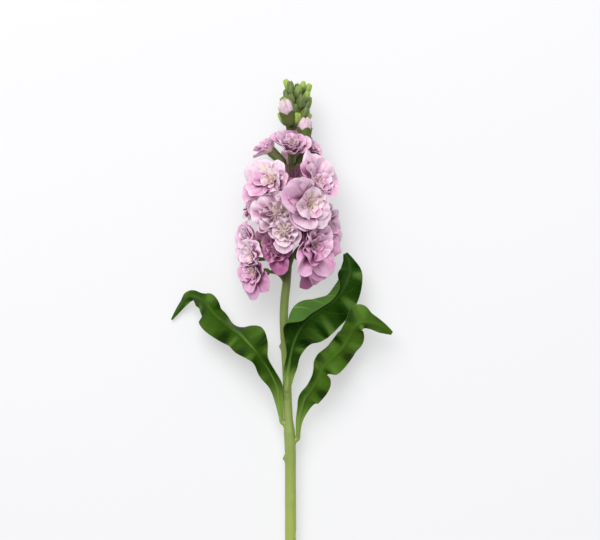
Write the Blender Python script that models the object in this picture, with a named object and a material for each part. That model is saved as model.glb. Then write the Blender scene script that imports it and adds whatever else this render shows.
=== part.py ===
"""A cut stem of stock (Matthiola incana) lying on a flat surface.

The stem lies along +Y with its cut end at -Y, and +Z is up. The origin is the middle of the
ground under it. Sizes and places below are in millimetres, measured from the cut end, and are
turned into metres when a mesh is made. Angles round the stem are in degrees: 0 is to the right,
90 is up and 180 is to the left.
"""

import math
import random
from dataclasses import dataclass

import bmesh
import bpy
import numpy as np
from mathutils import Matrix

MM = 0.001
ORIGIN = np.array((-4.3, 198.4, 0.0))
GAP = 0.3
GOLDEN_TURN = math.radians(137.5)
ALONG_STEM = np.array((0.0, 1.0, 0.0))
UP = np.array((0.0, 0.0, 1.0))

# Stem: its middle line from the cut end to the tip, and its radius along that line.
STEM_LINE = (
    (2.3, 0.0, 2.9),
    (1.8, 60.0, 7.9),
    (1.6, 126.0, 12.9),
    (1.4, 158.0, 15.4),
    (0.6, 174.0, 16.7),
    (-0.3, 190.0, 17.9),
    (-0.8, 207.0, 19.3),
    (-2.0, 228.0, 21.0),
    (-2.7, 244.0, 22.3),
    (-2.2, 256.0, 23.2),
    (-1.0, 267.0, 24.1),
    (0.2, 284.0, 25.3),
    (1.6, 308.0, 26.8),
    (2.8, 330.0, 28.2),
    (2.4, 348.0, 29.2),
    (3.2, 366.0, 30.2),
    (5.2, 379.0, 31.0),
    (5.8, 390.0, 31.5),
    (5.5, 395.5, 31.6),
)
STEM_RADIUS = (
    (0, 3.6),
    (150, 3.55),
    (170, 3.7),
    (178, 2.85),
    (262, 2.75),
    (310, 2.4),
    (366, 1.9),
    (396, 1.0),
)
STEM_SIDES = 8
STEM_RINGS = 24
# The end is cut at a slant, and the underside of the stem next to it is flat where it rests.
CUT_SLANT = 30
CUT_PLACE = 0.5
BLOCK_SIZE = (600.0, 900.0, 50.0)
# Leaf scars: where along the stem, at what angle round it, and how far they stand out.
SCARS = (
    (38, 20, 0.9),
    (71, 120, 0.8),
    (99, 355, 1.0),
    (109, 178, 1.0),
    (126, 60, 0.9),
    (153, 175, 1.3),
    (226, 178, 0.8),
)
SCAR_LENGTH = 3.2
SCAR_DEPTH = 0.9
SCAR_RADII = (0.7, 1.25, 0.8)

# Flower stalks, which leave the stem at a slant and bend into the green cups that hold the
# petals. The cup is a profile of radii along its length, smaller under a small flower.
STALK_RADIUS = 1.05
STALK_RINGS = 4
STALK_RISE = 57
STALK_BEND = 0.4
STALK_SINK = 0.8
CUP_LENGTH = 9.0
CUP_SIDES = 5
CUP_PROFILE = ((0.0, 1.25), (0.2, 2.4), (0.7, 2.6), (1.0, 2.9))
LEAST_CUP = 0.78
FULL_CUP_RADIUS = 14.0

# Petals. A bloom is one body: its rings of petals grow from one small core, and a petal opens as
# far as its room lets it, from wide open down to nearly shut. A shut petal is shorter, its claw
# stands more upright, and it takes up less of its ring.
PETAL_THICKNESS = 0.7
OPENNESS = (1.0, 0.92, 0.84, 0.76, 0.68, 0.6, 0.52, 0.44, 0.36, 0.28)
LEAST_LENGTH = 0.6
LEAST_CLAW = 0.4
LEAST_LIFT = 0.4
INNER_SHARE = 0.84
CLAW_PACKING = 0.8
SHUT_PACKING = 0.85
BEND_POWER = 1.2
SHOULDER = 0.8
CORNER_ROUND = 0.15
LENGTH_RANGE = (0.93, 1.04)
WIDTH_RANGE = (0.92, 1.08)
TURN_JITTER = 0.04
EDGE_RIPPLE = 0.25
PROFILE_STEPS = 50
# The room of a bloom ends at flat walls: the ground, the stem, and one between it and each
# neighbour, measured between points on their axes this share of their radius above the throat.
WALL_ROOM = PETAL_THICKNESS / 2 + 0.2
WALL_SOFTNESS = 0.8
STEM_ROOM = 1.0
MIDDLE_SHARE = 0.42
NEIGHBOUR_REACH = 1.35
# Of two neighbours, the one that stands higher gets more room, and the wall between them leans so
# that its petals lie over those of the other. Heights differ by this much at most.
MOST_HIGHER = 8.0
HEIGHT_WEIGHT = 22.0
WALL_LEAN = (0.15, 0.03)
# The core is rings of corners round the bloom's axis, as radius and height, with a hollow top.
CORE_RINGS = ((2.6, 0.0), (2.6, 1.7), (2.1, 3.1), (1.3, 4.5))
THROAT_DEPTH = 1.2

# Rings of petals: their length and width against the bloom's radius, the angle from the bloom's
# axis at the claw and at the rim, how much of the ring they may fill at the rim, how much they
# cup and wave, how far an edge that lies over its neighbour or under it is lifted, how many rows
# they have, and the radius and height at which they leave the core.
PETAL_COUNT = 5
OUTER = dict(width=1.30, pack=1.06, cup=0.08, wave=0.08, over=1.2, under=-1.2, rows=3, foot=(2.6, 0.85))
MIDDLE = dict(width=0.95, pack=0.88, cup=0.08, wave=0.05, over=0.9, under=-0.5, rows=2, foot=(2.3, 2.4))
INNER = dict(width=0.70, pack=0.76, cup=0.08, wave=0.02, over=0.5, under=-0.1, rows=1, foot=(1.5, 3.8))
FULL = (
    dict(OUTER, length=1.06, claw=40, rim=118),
    dict(MIDDLE, length=0.88, claw=22, rim=76),
    dict(INNER, length=0.52, claw=4, rim=30),
)
LOOSE = (
    dict(OUTER, rows=2, length=1.06, claw=40, rim=100),
    dict(MIDDLE, length=0.80, claw=16, rim=56),
)
HALF = (
    dict(OUTER, length=1.20, claw=24, rim=74),
    dict(MIDDLE, length=0.86, claw=6, rim=40),
)



@dataclass(frozen=True)
class Flower:
    """A bloom or a bud that shows petals, by its throat, where the petals leave the green cup."""

    name: str
    y: float  # Where along the stem the throat is.
    turn: float  # Its angle round the stem.
    reach: float  # Its distance from the stem's middle.
    lean: float  # How far it tilts from straight outwards towards the tip.
    radius: float
    stalk: float  # How far down the stem the stalk starts.
    spin: float = 0.0  # How far its petals are turned about its own axis.
    rings: tuple = ()
    length: float = 0.0
    side: float = 0.0  # The side, seen from above, on which its petals are longer,
    more: float = 0.0  # and by what share of its radius.
    cup: float = 1.0  # How large its green cup is beside that of its neighbours.


# The open blooms, from the top of the head down: place, angle, reach, lean, radius, stalk, spin, rings.
BLOOMS = (
    Flower("crown_front", 351, 88, 10.5, 46, 14, 11, 90, HALF, side=180, more=0.1),
    Flower("crown_left", 351.5, 188, 12.5, 44, 11.5, 12, 45, LOOSE, cup=1.3),
    Flower("crown_right", 351, 20, 9.5, 44, 10.5, 11, 10, LOOSE, side=90, more=0.1),
    Flower("crown_back", 347, 275, 11, 44, 13, 12, 0, LOOSE),
    Flower("upper_left", 332, 119, 22.5, 8, 16.5, 15, 6, FULL, side=236, more=0.38),
    Flower("upper_right", 328.5, 54, 23, 24, 18, 15, 42, FULL, side=170, more=0.25),
    Flower("upper_back", 330, 268, 12.5, 34, 17, 15, 0, LOOSE),
    Flower("mid_right", 317, 66, 26, 0, 17.5, 14, 12, FULL, side=185, more=0.36),
    Flower("mid_left_back", 320, 184, 18.5, 8, 16.5, 15, 0, FULL),
    Flower("mid_centre", 310, 106, 23.5, 2, 16.5, 14, 90, FULL, side=165, more=0.3),
    Flower("mid_right_back", 303, 18, 19.5, 8, 17, 16, 10, FULL),
    Flower("deep_upper", 318, 150, 15, 8, 14, 14, 0, LOOSE),
    Flower("mid_back", 309, 288, 12.5, 22, 18, 15, 0, LOOSE),
    Flower("low_centre", 300.5, 96, 26, -4, 11.5, 16, 14, LOOSE, side=20, more=0.1),
    Flower("low_left_upper", 292.5, 159, 22, 8, 16, 16, 66, FULL, side=0, more=0.2),
    Flower("low_back_left", 293, 228, 14.5, 14, 17.5, 16, 0, LOOSE, side=90, more=0.2),
    Flower("low_right", 290.5, 55, 24, 0, 20.5, 18, 66, FULL, side=185, more=0.34),
    Flower("low_left", 284, 140, 25.5, 0, 15, 18, 4, FULL, side=350, more=0.35),
    Flower("low_back_right", 285, 312, 15, 4, 17.5, 18, 0, LOOSE, side=90, more=0.2),
    Flower("deep_right", 303, 52, 15, 0, 16, 14, 20, LOOSE, side=180, more=0.2),
    Flower("deep_middle", 322, 84, 7.5, 6, 10, 14, 30, LOOSE),
    Flower("deep_left", 289, 113, 13.5, 0, 13, 10, 0, FULL),
    Flower("bottom_left", 274, 136, 25, -2, 12, 8, 60, FULL, side=200, more=0.1),
    Flower("bottom_right", 283, 34, 15, -16, 13, 12, 40, FULL, side=190, more=0.3),
)

# Buds that already show their petals.
PINK_BUDS = (
    Flower("left", y=374.5, turn=120, reach=8.8, lean=66, radius=4.8, length=9, stalk=13),
    Flower("right", y=363.5, turn=36, reach=9.2, lean=84, radius=4.5, length=9, stalk=12),
    Flower("back", y=368, turn=262, reach=9, lean=62, radius=4.2, length=8.5, stalk=12),
)
PINK_BUD_SIDES = 8
PINK_BUD_PROFILE = ((0.0, 0.55), (0.2, 0.92), (0.5, 1.0), (0.8, 0.72), (1.0, 0.15))
PINK_BUD_FOLDS = 3
PINK_BUD_FOLD_DEPTH = 0.09
FOLD_TWIST = 0.35

# Green buds on a spiral round the tip. Each pair gives the value at the lowest bud and at the
# tip: place along the stem, reach from its middle, radius, and lean towards the tip.
GREEN_BUDS = 20
GREEN_BUDS_Y = (371.5, 392.4)
GREEN_BUDS_REACH = (10.5, 7.0)
GREEN_BUDS_RADIUS = (2.7, 2.0)
GREEN_BUDS_LEAN = (46, 72)
GREEN_BUDS_TURN = 75
GREEN_BUDS_VARY = (0.88, 1.1)
GREEN_BUD_SIDES = 5
GREEN_BUD_PROFILE = ((0.0, 0.5), (0.3, 1.0), (0.72, 0.86), (1.0, 0.3))
GREEN_BUD_LENGTH = 2.9
GREEN_BUD_BACK = 0.35
GREEN_BUD_STALK = 3.5

# Leaves. Each row is a station along the midrib: its place, then for the left and for the right
# half of the blade its width, the angle at which it leaves the midrib (90 is towards the sky),
# and how far it curls on the way to its margin. A left half with a roll makes all of its curl
# between the two shares of its width that the roll names, so its margin folds back over the blade.
LEAF_THICKNESS = 0.8
LEAF_ACROSS = 8
LEAF_ALONG = 16
CURL_POWER = 3
CURL_STEPS = 40
LEAST_HALF_LEAF = 0.3
RIB_WIDTH = 1.5
LEAVES = {
    "leaf_left": dict(
        rib=(3.0, 1.2, 0.3),
        stations=(
            ((-4.1, 177.5, 17.6), (1.3, 0, 0), (1.3, 0, 0)),
            ((-5.6, 189.5, 20.0), (2.8, 10, 10), (2.6, 15, 10)),
            ((-7.2, 200.0, 22.0), (5.2, 20, 10), (4.8, 35, 20)),
            ((-12.0, 210.5, 24.0), (7.8, 15, 15), (6.5, 55, 30)),
            ((-17.2, 218.3, 26.0), (8.6, 40, 20), (8.5, 55, 25)),
            ((-21.4, 223.5, 27.0), (9.5, 40, 10), (11.5, 30, -20)),
            ((-26.6, 229.3, 28.0), (10.5, 10, -20), (13.5, -8, -15)),
            ((-31.2, 234.2, 29.0), (11.0, -10, -20), (12.5, -62, -20)),
            ((-39.0, 239.8, 28.5), (12.5, -15, -20), (10.5, -75, 0)),
            ((-47.5, 246.9, 26.5), (13.5, -20, -15), (6.2, -35, 10)),
            ((-52.8, 253.4, 23.0), (11.5, -35, -5), (7.5, -15, 15)),
            ((-58.5, 257.0, 18.0), (8.0, -45, 0), (4.4, -20, 10)),
            ((-64.5, 258.2, 12.5), (5.0, -30, 0), (4.2, -30, 0)),
            ((-69.6, 252.5, 7.0), (2.6, -25, 0), (2.4, -35, 0)),
            ((-76.3, 243.0, 2.2), (0.5, 0, 0), (0.5, 0, 0)),
        ),
    ),
    "leaf_centre": dict(
        rib=(1.2, 1.2, 0.35),
        roll=(0.45, 0.7),
        stations=(
            ((-0.6, 199.0, 22.7), (2.6, -10, -20), (2.6, -10, -20)),
            ((-0.2, 206.5, 24.3), (2.8, 0, 0), (4.2, -5, -10)),
            ((0.4, 212.5, 25.4), (3.0, 15, 10), (5.8, -12, -15)),
            ((1.6, 221.0, 26.6), (3.6, 40, 20), (7.0, -12, -20)),
            ((3.9, 229.3, 28.4), (7.4, 30, 10), (10.5, -12, -15)),
            ((7.8, 237.2, 30.2), (16.5, 22, 60), (15.5, -4, -10)),
            ((13.5, 244.2, 31.6), (25.5, 20, 165), (17.6, -3, -6)),
            ((21.0, 249.6, 31.2), (17.0, 16, 172), (17.0, -12, 6)),
            ((28.4, 254.6, 30.4), (11.0, 12, 165), (15.0, -14, 15)),
            ((34.3, 260.6, 29.0), (11.5, 8, 140), (13.0, -12, -10)),
            ((38.3, 267.6, 27.6), (9.5, 4, 70), (10.8, -12, -20)),
            ((40.3, 274.6, 26.6), (7.0, 0, 10), (8.0, -10, -20)),
            ((39.6, 281.0, 26.2), (4.6, 0, 0), (3.6, -5, -10)),
            ((37.0, 286.2, 26.0), (1.4, 0, 0), (1.6, 0, 0)),
        ),
    ),
    "leaf_right": dict(
        rib=(3.2, 1.2, 0.3),
        stations=(
            ((6.4, 166.5, 16.2), (1.2, 0, 0), (1.2, 0, 0)),
            ((7.1, 177.0, 18.6), (2.0, 20, 10), (2.4, 10, 0)),
            ((8.6, 185.5, 21.5), (3.2, 35, 20), (5.4, -10, -20)),
            ((10.8, 192.5, 23.5), (5.0, 35, 20), (10.5, -22, -30)),
            ((15.6, 198.8, 23.5), (5.8, 40, 30), (10.2, -5, -30)),
            ((19.5, 205.3, 21.8), (6.6, 40, 30), (9.8, 20, 20)),
            ((21.8, 210.2, 21.4), (7.2, 25, 40), (8.4, 52, 25)),
            ((25.2, 214.8, 22.4), (8.4, -5, -20), (10.4, 30, 5)),
            ((30.0, 219.6, 24.2), (9.2, -30, -20), (10.2, -4, -20)),
            ((35.8, 225.5, 26.2), (8.6, -18, 30), (11.0, -25, -45)),
            ((39.6, 232.0, 28.6), (8.0, 0, 20), (10.4, -15, -25)),
            ((42.6, 238.0, 32.5), (7.6, 20, 20), (6.5, -30, -15)),
            ((47.9, 241.6, 33.6), (12.4, -8, -10), (4.5, -25, -5)),
            ((54.2, 241.2, 31.5), (6.6, -20, -15), (4.3, -20, -5)),
            ((61.0, 238.4, 26.5), (3.4, -15, -10), (4.2, -15, -10)),
            ((67.4, 234.4, 21.0), (1.2, 0, 0), (1.2, 0, 0)),
        ),
    ),
}

COLOURS = {
    "stem": ((0.36, 0.47, 0.13), 0.55),
    "petals": ((0.76, 0.47, 0.70), 0.62),
    "bud": ((0.83, 0.62, 0.74), 0.55),
    "leaf": ((0.09, 0.19, 0.03), 0.45),
}


def unit(vector):
    return vector / np.linalg.norm(vector)


def crosswise(direction, helper):
    """A direction across another one, and across the helper unless that runs almost along it."""
    if abs(direction @ helper) > 0.9:
        helper = np.array((1.0, 0.0, 0.0))
    return unit(np.cross(direction, helper))


def smooth_through(rows, steps):
    """The rows read along a smooth curve through them, at the given steps from 0 to 1."""
    rows = np.array(rows, float)
    padded = np.vstack([2 * rows[0] - rows[1], rows, 2 * rows[-1] - rows[-2]])
    place = np.asarray(steps, float) * (len(rows) - 1)
    start = np.minimum(place.astype(int), len(rows) - 2)
    part = (place - start).reshape(-1, *[1] * (rows.ndim - 1))
    a, b, c, d = (padded[start + k] for k in range(4))
    bend = (2 * a - 5 * b + 4 * c - d) * part**2 + (3 * b - a - 3 * c + d) * part**3
    return 0.5 * (2 * b + (c - a) * part + bend)


def profile_at(profile, steps):
    """A value read from (place, value) pairs."""
    places, values = zip(*profile)
    return np.interp(steps, places, values)


STEM_POINTS = smooth_through(STEM_LINE, np.linspace(0, 1, 400))


def stem_at(y):
    """The middle of the stem at a distance y from the cut end."""
    return np.array([np.interp(y, STEM_POINTS[:, 1], STEM_POINTS[:, k]) for k in range(3)])


def outward(turn):
    """The direction away from the stem at an angle round it."""
    angle = math.radians(turn)
    return np.array((math.cos(angle), 0.0, math.sin(angle)))


def side_frames(line):
    """Two directions across each point of a line, carried along it without twisting."""
    line = np.asarray(line, float)
    tangents = np.gradient(line, axis=0)
    tangents /= np.linalg.norm(tangents, axis=1)[:, None]
    across = crosswise(tangents[0], UP)
    sides = []
    for tangent in tangents:
        across = unit(across - tangent * (across @ tangent))
        sides.append((across, np.cross(tangent, across)))
    return sides


def tube_mesh(line, radii, sides, folds=0, fold_depth=0.0):
    """A closed round body along a line: points and triangles. Folds wind round it as ridges."""
    points, faces = [line[0]], []
    for k, (centre, radius, (across, up)) in enumerate(zip(line, radii, side_frames(line))):
        for j in range(sides):
            angle = 2 * math.pi * j / sides
            ridge = 1 + fold_depth * math.cos(folds * (angle + FOLD_TWIST * k))
            points.append(centre + radius * ridge * (across * math.cos(angle) + up * math.sin(angle)))
    points.append(line[-1])
    last = len(points) - 1
    for j in range(sides):
        following = (j + 1) % sides
        faces.append((0, 1 + following, 1 + j))
        for k in range(len(line) - 1):
            low, high = 1 + k * sides, 1 + (k + 1) * sides
            faces.append((low + j, low + following, high + following))
            faces.append((low + j, high + following, high + j))
        low = 1 + (len(line) - 1) * sides
        faces.append((low + j, low + following, last))
    return np.array(points), [face[::-1] for face in faces]


def sheet_mesh(middle, thickness):
    """A closed thin blade from a grid of middle points, split into triangles alike on both faces."""
    rows, columns = middle.shape[:2]
    normals = np.cross(np.gradient(middle, axis=0), np.gradient(middle, axis=1))
    normals /= np.linalg.norm(normals, axis=2)[:, :, None]
    half = normals * np.broadcast_to(thickness, (rows, columns))[:, :, None] / 2
    points = np.concatenate([(middle + half).reshape(-1, 3), (middle - half).reshape(-1, 3)])
    back = rows * columns
    faces = []
    for i in range(rows - 1):
        for j in range(columns - 1):
            a, b = i * columns + j, i * columns + j + 1
            c, d = a + columns, b + columns
            for triangle in ((a, c, b), (b, c, d)):
                faces.append(triangle)
                faces.append(tuple(back + corner for corner in triangle[::-1]))
    rim = [(0, j) for j in range(columns)]
    rim += [(i, columns - 1) for i in range(1, rows)]
    rim += [(rows - 1, j) for j in range(columns - 2, -1, -1)]
    rim += [(i, 0) for i in range(rows - 2, 0, -1)]
    rim = [i * columns + j for i, j in rim]
    for a, b in zip(rim, rim[1:] + rim[:1]):
        faces.append((a, b, back + b))
        faces.append((a, back + b, back + a))
    return points, faces


def make_object(name, mesh_data):
    """A Blender object, in metres about the origin, from points and faces in millimetres."""
    points, faces = mesh_data
    mesh = bpy.data.meshes.new(name)
    mesh.from_pydata(((points - ORIGIN) * MM).tolist(), [], faces)
    shape = bmesh.new()
    shape.from_mesh(mesh)
    bmesh.ops.recalc_face_normals(shape, faces=shape.faces)
    shape.to_mesh(mesh)
    shape.free()
    made = bpy.data.objects.new(name, mesh)
    bpy.context.scene.collection.objects.link(made)
    return made


def finish(made, colour):
    """Gives an object its plain material and its smooth shading."""
    material = bpy.data.materials.get(colour) or bpy.data.materials.new(colour)
    material.use_nodes = True
    shader = material.node_tree.nodes["Principled BSDF"]
    (red, green, blue), roughness = COLOURS[colour]
    shader.inputs["Base Color"].default_value = (red, green, blue, 1.0)
    shader.inputs["Roughness"].default_value = roughness
    shader.inputs["Metallic"].default_value = 0.0
    made.data.materials.clear()
    made.data.materials.append(material)
    made.data.shade_smooth()
    made.data.set_sharp_from_angle(angle=math.radians(50))


def largest_body(shape):
    """Drops every loose scrap and sealed hollow that a Boolean left behind."""
    unseen, bodies = set(shape.verts), []
    while unseen:
        body, front = set(), [unseen.pop()]
        while front:
            corner = front.pop()
            body.add(corner)
            for edge in corner.link_edges:
                other = edge.other_vert(corner)
                if other in unseen:
                    unseen.discard(other)
                    front.append(other)
        bodies.append(body)
    bodies.sort(key=len)
    for body in bodies[:-1]:
        bmesh.ops.delete(shape, geom=list(body), context="VERTS")


def combine(base, joined=(), cut=()):
    """Joins pieces to the base, then cuts pieces out of it, and removes them all."""
    groups = []
    for operation, pieces in (("UNION", joined), ("DIFFERENCE", cut)):
        if not pieces:
            continue
        group = bpy.data.collections.new("pieces")
        for piece in pieces:
            group.objects.link(piece)
        step = base.modifiers.new(operation, "BOOLEAN")
        step.operation = operation
        step.operand_type = "COLLECTION"
        step.collection = group
        step.solver = "MANIFOLD"
        groups.append(group)
    bpy.context.view_layer.update()
    graph = bpy.context.evaluated_depsgraph_get()
    result = bpy.data.meshes.new_from_object(base.evaluated_get(graph))
    base.modifiers.clear()
    for group in groups:
        for piece in list(group.objects):
            bpy.data.objects.remove(piece)
        bpy.data.collections.remove(group)
    shape = bmesh.new()
    shape.from_mesh(result)
    bmesh.ops.triangulate(shape, faces=shape.faces)
    largest_body(shape)
    shape.to_mesh(result)
    shape.free()
    base.data = result


def flower_axis(flower):
    """The throat of a bloom or bud, the direction it faces, and where its stalk starts."""
    away = outward(flower.turn)
    lean = math.radians(flower.lean)
    throat = stem_at(flower.y) + flower.reach * away
    facing = math.cos(lean) * away + math.sin(lean) * ALONG_STEM
    return throat, facing, stem_at(flower.y - flower.stalk)


def stalk_line(flower, cup_length):
    """The stalk's middle line, from inside the stem up into the cup's base."""
    throat, facing, start = flower_axis(flower)
    end = throat - (cup_length + GAP - STALK_SINK) * facing
    rise = math.radians(STALK_RISE)
    leaves = math.cos(rise) * outward(flower.turn) + math.sin(rise) * ALONG_STEM
    bend = STALK_BEND * np.linalg.norm(end - start)
    handles = (start, start + bend * leaves, end - bend * facing, end)
    steps = np.linspace(0, 1, STALK_RINGS)
    weights = ((1 - steps) ** 3, 3 * steps * (1 - steps) ** 2, 3 * steps**2 * (1 - steps), steps**3)
    return sum(weight[:, None] * handle for weight, handle in zip(weights, handles))


def flower_scale(flower):
    """Small blooms and buds have a smaller cup."""
    return flower.cup * (LEAST_CUP + (1 - LEAST_CUP) * min(flower.radius / FULL_CUP_RADIUS, 1.0))


def green_support(flower, extra=0.0):
    """Mesh data for the stalk and the cup under a bloom or bud, as one body."""
    scale = flower_scale(flower)
    length = CUP_LENGTH * scale
    throat, facing, _ = flower_axis(flower)
    stalk = stalk_line(flower, length)[:-1]
    places, widths = zip(*CUP_PROFILE)
    cup = np.array([throat - (GAP + length * (1 - place)) * facing for place in places])
    radii = np.concatenate([np.full(len(stalk), STALK_RADIUS), np.array(widths) * scale])
    return tube_mesh(np.concatenate([stalk, cup]), radii + extra, CUP_SIDES)


def stem_tube(extra=0.0):
    """The main stem as mesh data."""
    line = smooth_through(STEM_LINE, np.linspace(0, 1, STEM_RINGS))
    return tube_mesh(line, profile_at(STEM_RADIUS, line[:, 1]) + extra, STEM_SIDES)


def green_bud(number, extra=0.0):
    """One green bud with its short stalk, on a spiral round the tip."""
    share = number / (GREEN_BUDS - 1)
    radius, y, lean = (
        np.interp(share, (0, 1), pair) for pair in (GREEN_BUDS_RADIUS, GREEN_BUDS_Y, GREEN_BUDS_LEAN)
    )
    radius = radius * random.Random(number).uniform(*GREEN_BUDS_VARY)
    # The buds' tips lie on a dome over the end of the stem.
    reach = GREEN_BUDS_REACH[0] * math.sqrt(1 - share**2) + GREEN_BUDS_REACH[1] * share
    away = outward(math.degrees(number * GOLDEN_TURN) + GREEN_BUDS_TURN)
    lean = math.radians(lean)
    facing = math.cos(lean) * away + math.sin(lean) * ALONG_STEM
    base = stem_at(y) + (reach - radius) * away
    line = [stem_at(y - GREEN_BUD_STALK)]
    radii = [GREEN_BUD_PROFILE[0][1] * radius]
    for place, width in GREEN_BUD_PROFILE:
        line.append(base + (place - GREEN_BUD_BACK) * GREEN_BUD_LENGTH * radius * facing)
        radii.append(width * radius)
    line[-1] = line[-1] + extra * facing
    return tube_mesh(np.array(line), np.array(radii) + extra, GREEN_BUD_SIDES)


def scar(y, turn, height):
    """A small wedge left by a fallen leaf."""
    away = outward(turn)
    foot = stem_at(y) + (profile_at(STEM_RADIUS, y) - SCAR_DEPTH) * away
    end = SCAR_LENGTH / 2 * ALONG_STEM
    line = [foot - end, foot + (SCAR_DEPTH + height) * away, foot + end + SCAR_DEPTH / 2 * away]
    return tube_mesh(np.array(line), np.array(SCAR_RADII), CUP_SIDES)


def green_shapes(extra=0.0):
    """Everything green that grows from the stem, bar the leaves, as mesh data."""
    shapes = [green_support(flower, extra) for flower in BLOOMS + PINK_BUDS]
    return shapes + [green_bud(number, extra) for number in range(GREEN_BUDS)]


def pieces(shapes):
    """Objects to be joined to another one or cut from it."""
    return [make_object("piece", shape) for shape in shapes]


def cutting_block(y, tilt):
    """A block whose top face goes through the ground at y, tilted about a line across the stem."""
    corners = np.array([(x, y, z) for x in (-0.5, 0.5) for y in (-0.5, 0.5) for z in (-1.0, 0.0)])
    corners = corners * BLOCK_SIZE @ np.array(Matrix.Rotation(math.radians(tilt), 3, "X")).T
    sides = ((0, 1, 3, 2), (4, 6, 7, 5), (0, 4, 5, 1), (2, 3, 7, 6), (0, 2, 6, 4), (1, 5, 7, 3))
    return corners + y * ALONG_STEM, sides


def build_stem():
    """The stem with its scars, stalks, green cups and green buds, flat where it rests."""
    stem = make_object("stem", stem_tube())
    blocks = [cutting_block(0.0, 0.0), cutting_block(CUT_PLACE, -90 - CUT_SLANT)]
    combine(stem, pieces([scar(*place) for place in SCARS] + green_shapes()), pieces(blocks))
    finish(stem, "stem")


def around(flower, azimuth):
    """The direction out from a bloom's axis at an azimuth, and the direction along its ring."""
    _, facing, _ = flower_axis(flower)
    first = -crosswise(facing, ALONG_STEM)
    second = np.cross(facing, first)
    away = math.cos(azimuth) * first + math.sin(azimuth) * second
    beside = -math.sin(azimuth) * first + math.cos(azimuth) * second
    return away, beside


def radius_towards(flower, away):
    """The radius of a bloom on one side of it."""
    side = math.radians(flower.side)
    return flower.radius * (1 + flower.more * (math.cos(side) * away[0] + math.sin(side) * away[1]))


def bent_profile(radius, ring, openness, reached):
    """How far out and up a petal has come, and its angle from the axis, at shares of its length."""
    steps = np.linspace(0, 1, PROFILE_STEPS)
    claw = ring["claw"] * (LEAST_CLAW + (1 - LEAST_CLAW) * openness)
    angles = np.radians(claw + (ring["rim"] - ring["claw"]) * openness * steps**BEND_POWER)
    shrink = LEAST_LENGTH + (1 - LEAST_LENGTH) * openness
    stride = radius * ring["length"] * shrink * steps[1]
    out = ring["foot"][0] + np.concatenate([[0], np.cumsum(np.sin(angles[1:]) * stride)])
    rise = ring["foot"][1] + np.concatenate([[0], np.cumsum(np.cos(angles[1:]) * stride)])
    return tuple(np.interp(reached, steps, values) for values in (out, rise, angles))


def petal(flower, ring, azimuth, openness, seed, edges=(0.0, 0.0)):
    """The left edge, middle and right edge of a petal, row by row, with the way its face looks."""
    draw = random.Random(seed)
    away, beside = around(flower, azimuth + draw.uniform(-TURN_JITTER, TURN_JITTER))
    across = np.array((-1.0, 0.0, 1.0))[:, None]
    along = np.linspace(0, 1, ring["rows"] + 1)[None, 1:]
    reached = along * draw.uniform(*LENGTH_RANGE) * (1 - CORNER_ROUND * across**2)
    radius = radius_towards(flower, away)
    out, rise, angle = bent_profile(radius, ring, openness, reached)
    natural = radius * ring["width"] * draw.uniform(*WIDTH_RANGE) / 2
    natural = natural * np.sin(np.minimum(along / SHOULDER, 1) * math.pi / 2)
    packed = (CLAW_PACKING + (ring["pack"] - CLAW_PACKING) * along**3) * math.pi / PETAL_COUNT
    packed = packed * (SHUT_PACKING + (1 - SHUT_PACKING) * openness)
    turned = across * np.minimum(natural / out, packed)
    wave = flower.radius * ring["wave"] * along**1.5
    ripple = np.array([draw.uniform(-most, most) for most in (EDGE_RIPPLE, 1, EDGE_RIPPLE)])[:, None]
    lift = wave * ripple * openness + ring["cup"] * out * turned**2
    edge_lift = np.array((edges[0], 0.0, edges[1]))[:, None] * along**2
    lift = lift + edge_lift * (LEAST_LIFT + (1 - LEAST_LIFT) * openness)
    out = out - lift * np.cos(angle)
    rise = rise + lift * np.sin(angle)
    throat, facing, _ = flower_axis(flower)
    outwards = np.cos(turned)[..., None] * away + np.sin(turned)[..., None] * beside
    points = throat + out[..., None] * outwards + rise[..., None] * facing
    looks = -np.cos(angle)[..., None] * outwards + np.sin(angle)[..., None] * facing
    return points, looks


def middle_of(flower):
    """A point on the axis of a bloom, a little above its throat."""
    throat, facing, _ = flower_axis(flower)
    return throat + MIDDLE_SHARE * flower.radius * facing


def walls_of(flower):
    """Flat walls round a bloom's room, each as a point on it and the direction inwards."""
    middle = middle_of(flower)
    away = outward(flower.turn)
    stem_side = stem_at(flower.y) + (profile_at(STEM_RADIUS, flower.y) + STEM_ROOM) * away
    walls = [(np.zeros(3), UP), (stem_side, away)]
    for other in BLOOMS + PINK_BUDS:
        if other is flower:
            continue
        between = middle_of(other) - middle
        distance = np.linalg.norm(between)
        if distance < NEIGHBOUR_REACH * (flower.radius + other.radius):
            higher = max(-MOST_HIGHER, min(MOST_HIGHER, -between[2]))
            share = flower.radius / (flower.radius + other.radius * math.exp(-higher / HEIGHT_WEIGHT))
            over = math.copysign(WALL_LEAN[0] + WALL_LEAN[1] * abs(higher), higher)
            upwards = unit(flower_axis(flower)[1] + flower_axis(other)[1])
            walls.append((middle + share * between, unit(over * upwards - between / distance)))
    return walls


def openness_of(flower, ring, azimuth, most, seed):
    """How far a petal can open without crossing its walls."""
    walls = walls_of(flower)
    room = WALL_ROOM + ring["over"] / 2
    for openness in OPENNESS:
        if openness > most:
            continue
        points, _ = petal(flower, ring, azimuth, openness, seed)
        if min(((points - corner) @ inward).min() for corner, inward in walls) > room:
            return openness
    return OPENNESS[-1]


def pressed_back(points, walls):
    """Presses the last points that still cross a wall back from it."""
    for corner, inward in walls:
        depth = (points - corner) @ inward - WALL_ROOM
        kept = WALL_SOFTNESS * np.logaddexp(0, depth / WALL_SOFTNESS)
        points = points + (kept - depth)[..., None] * inward
    return points


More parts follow.
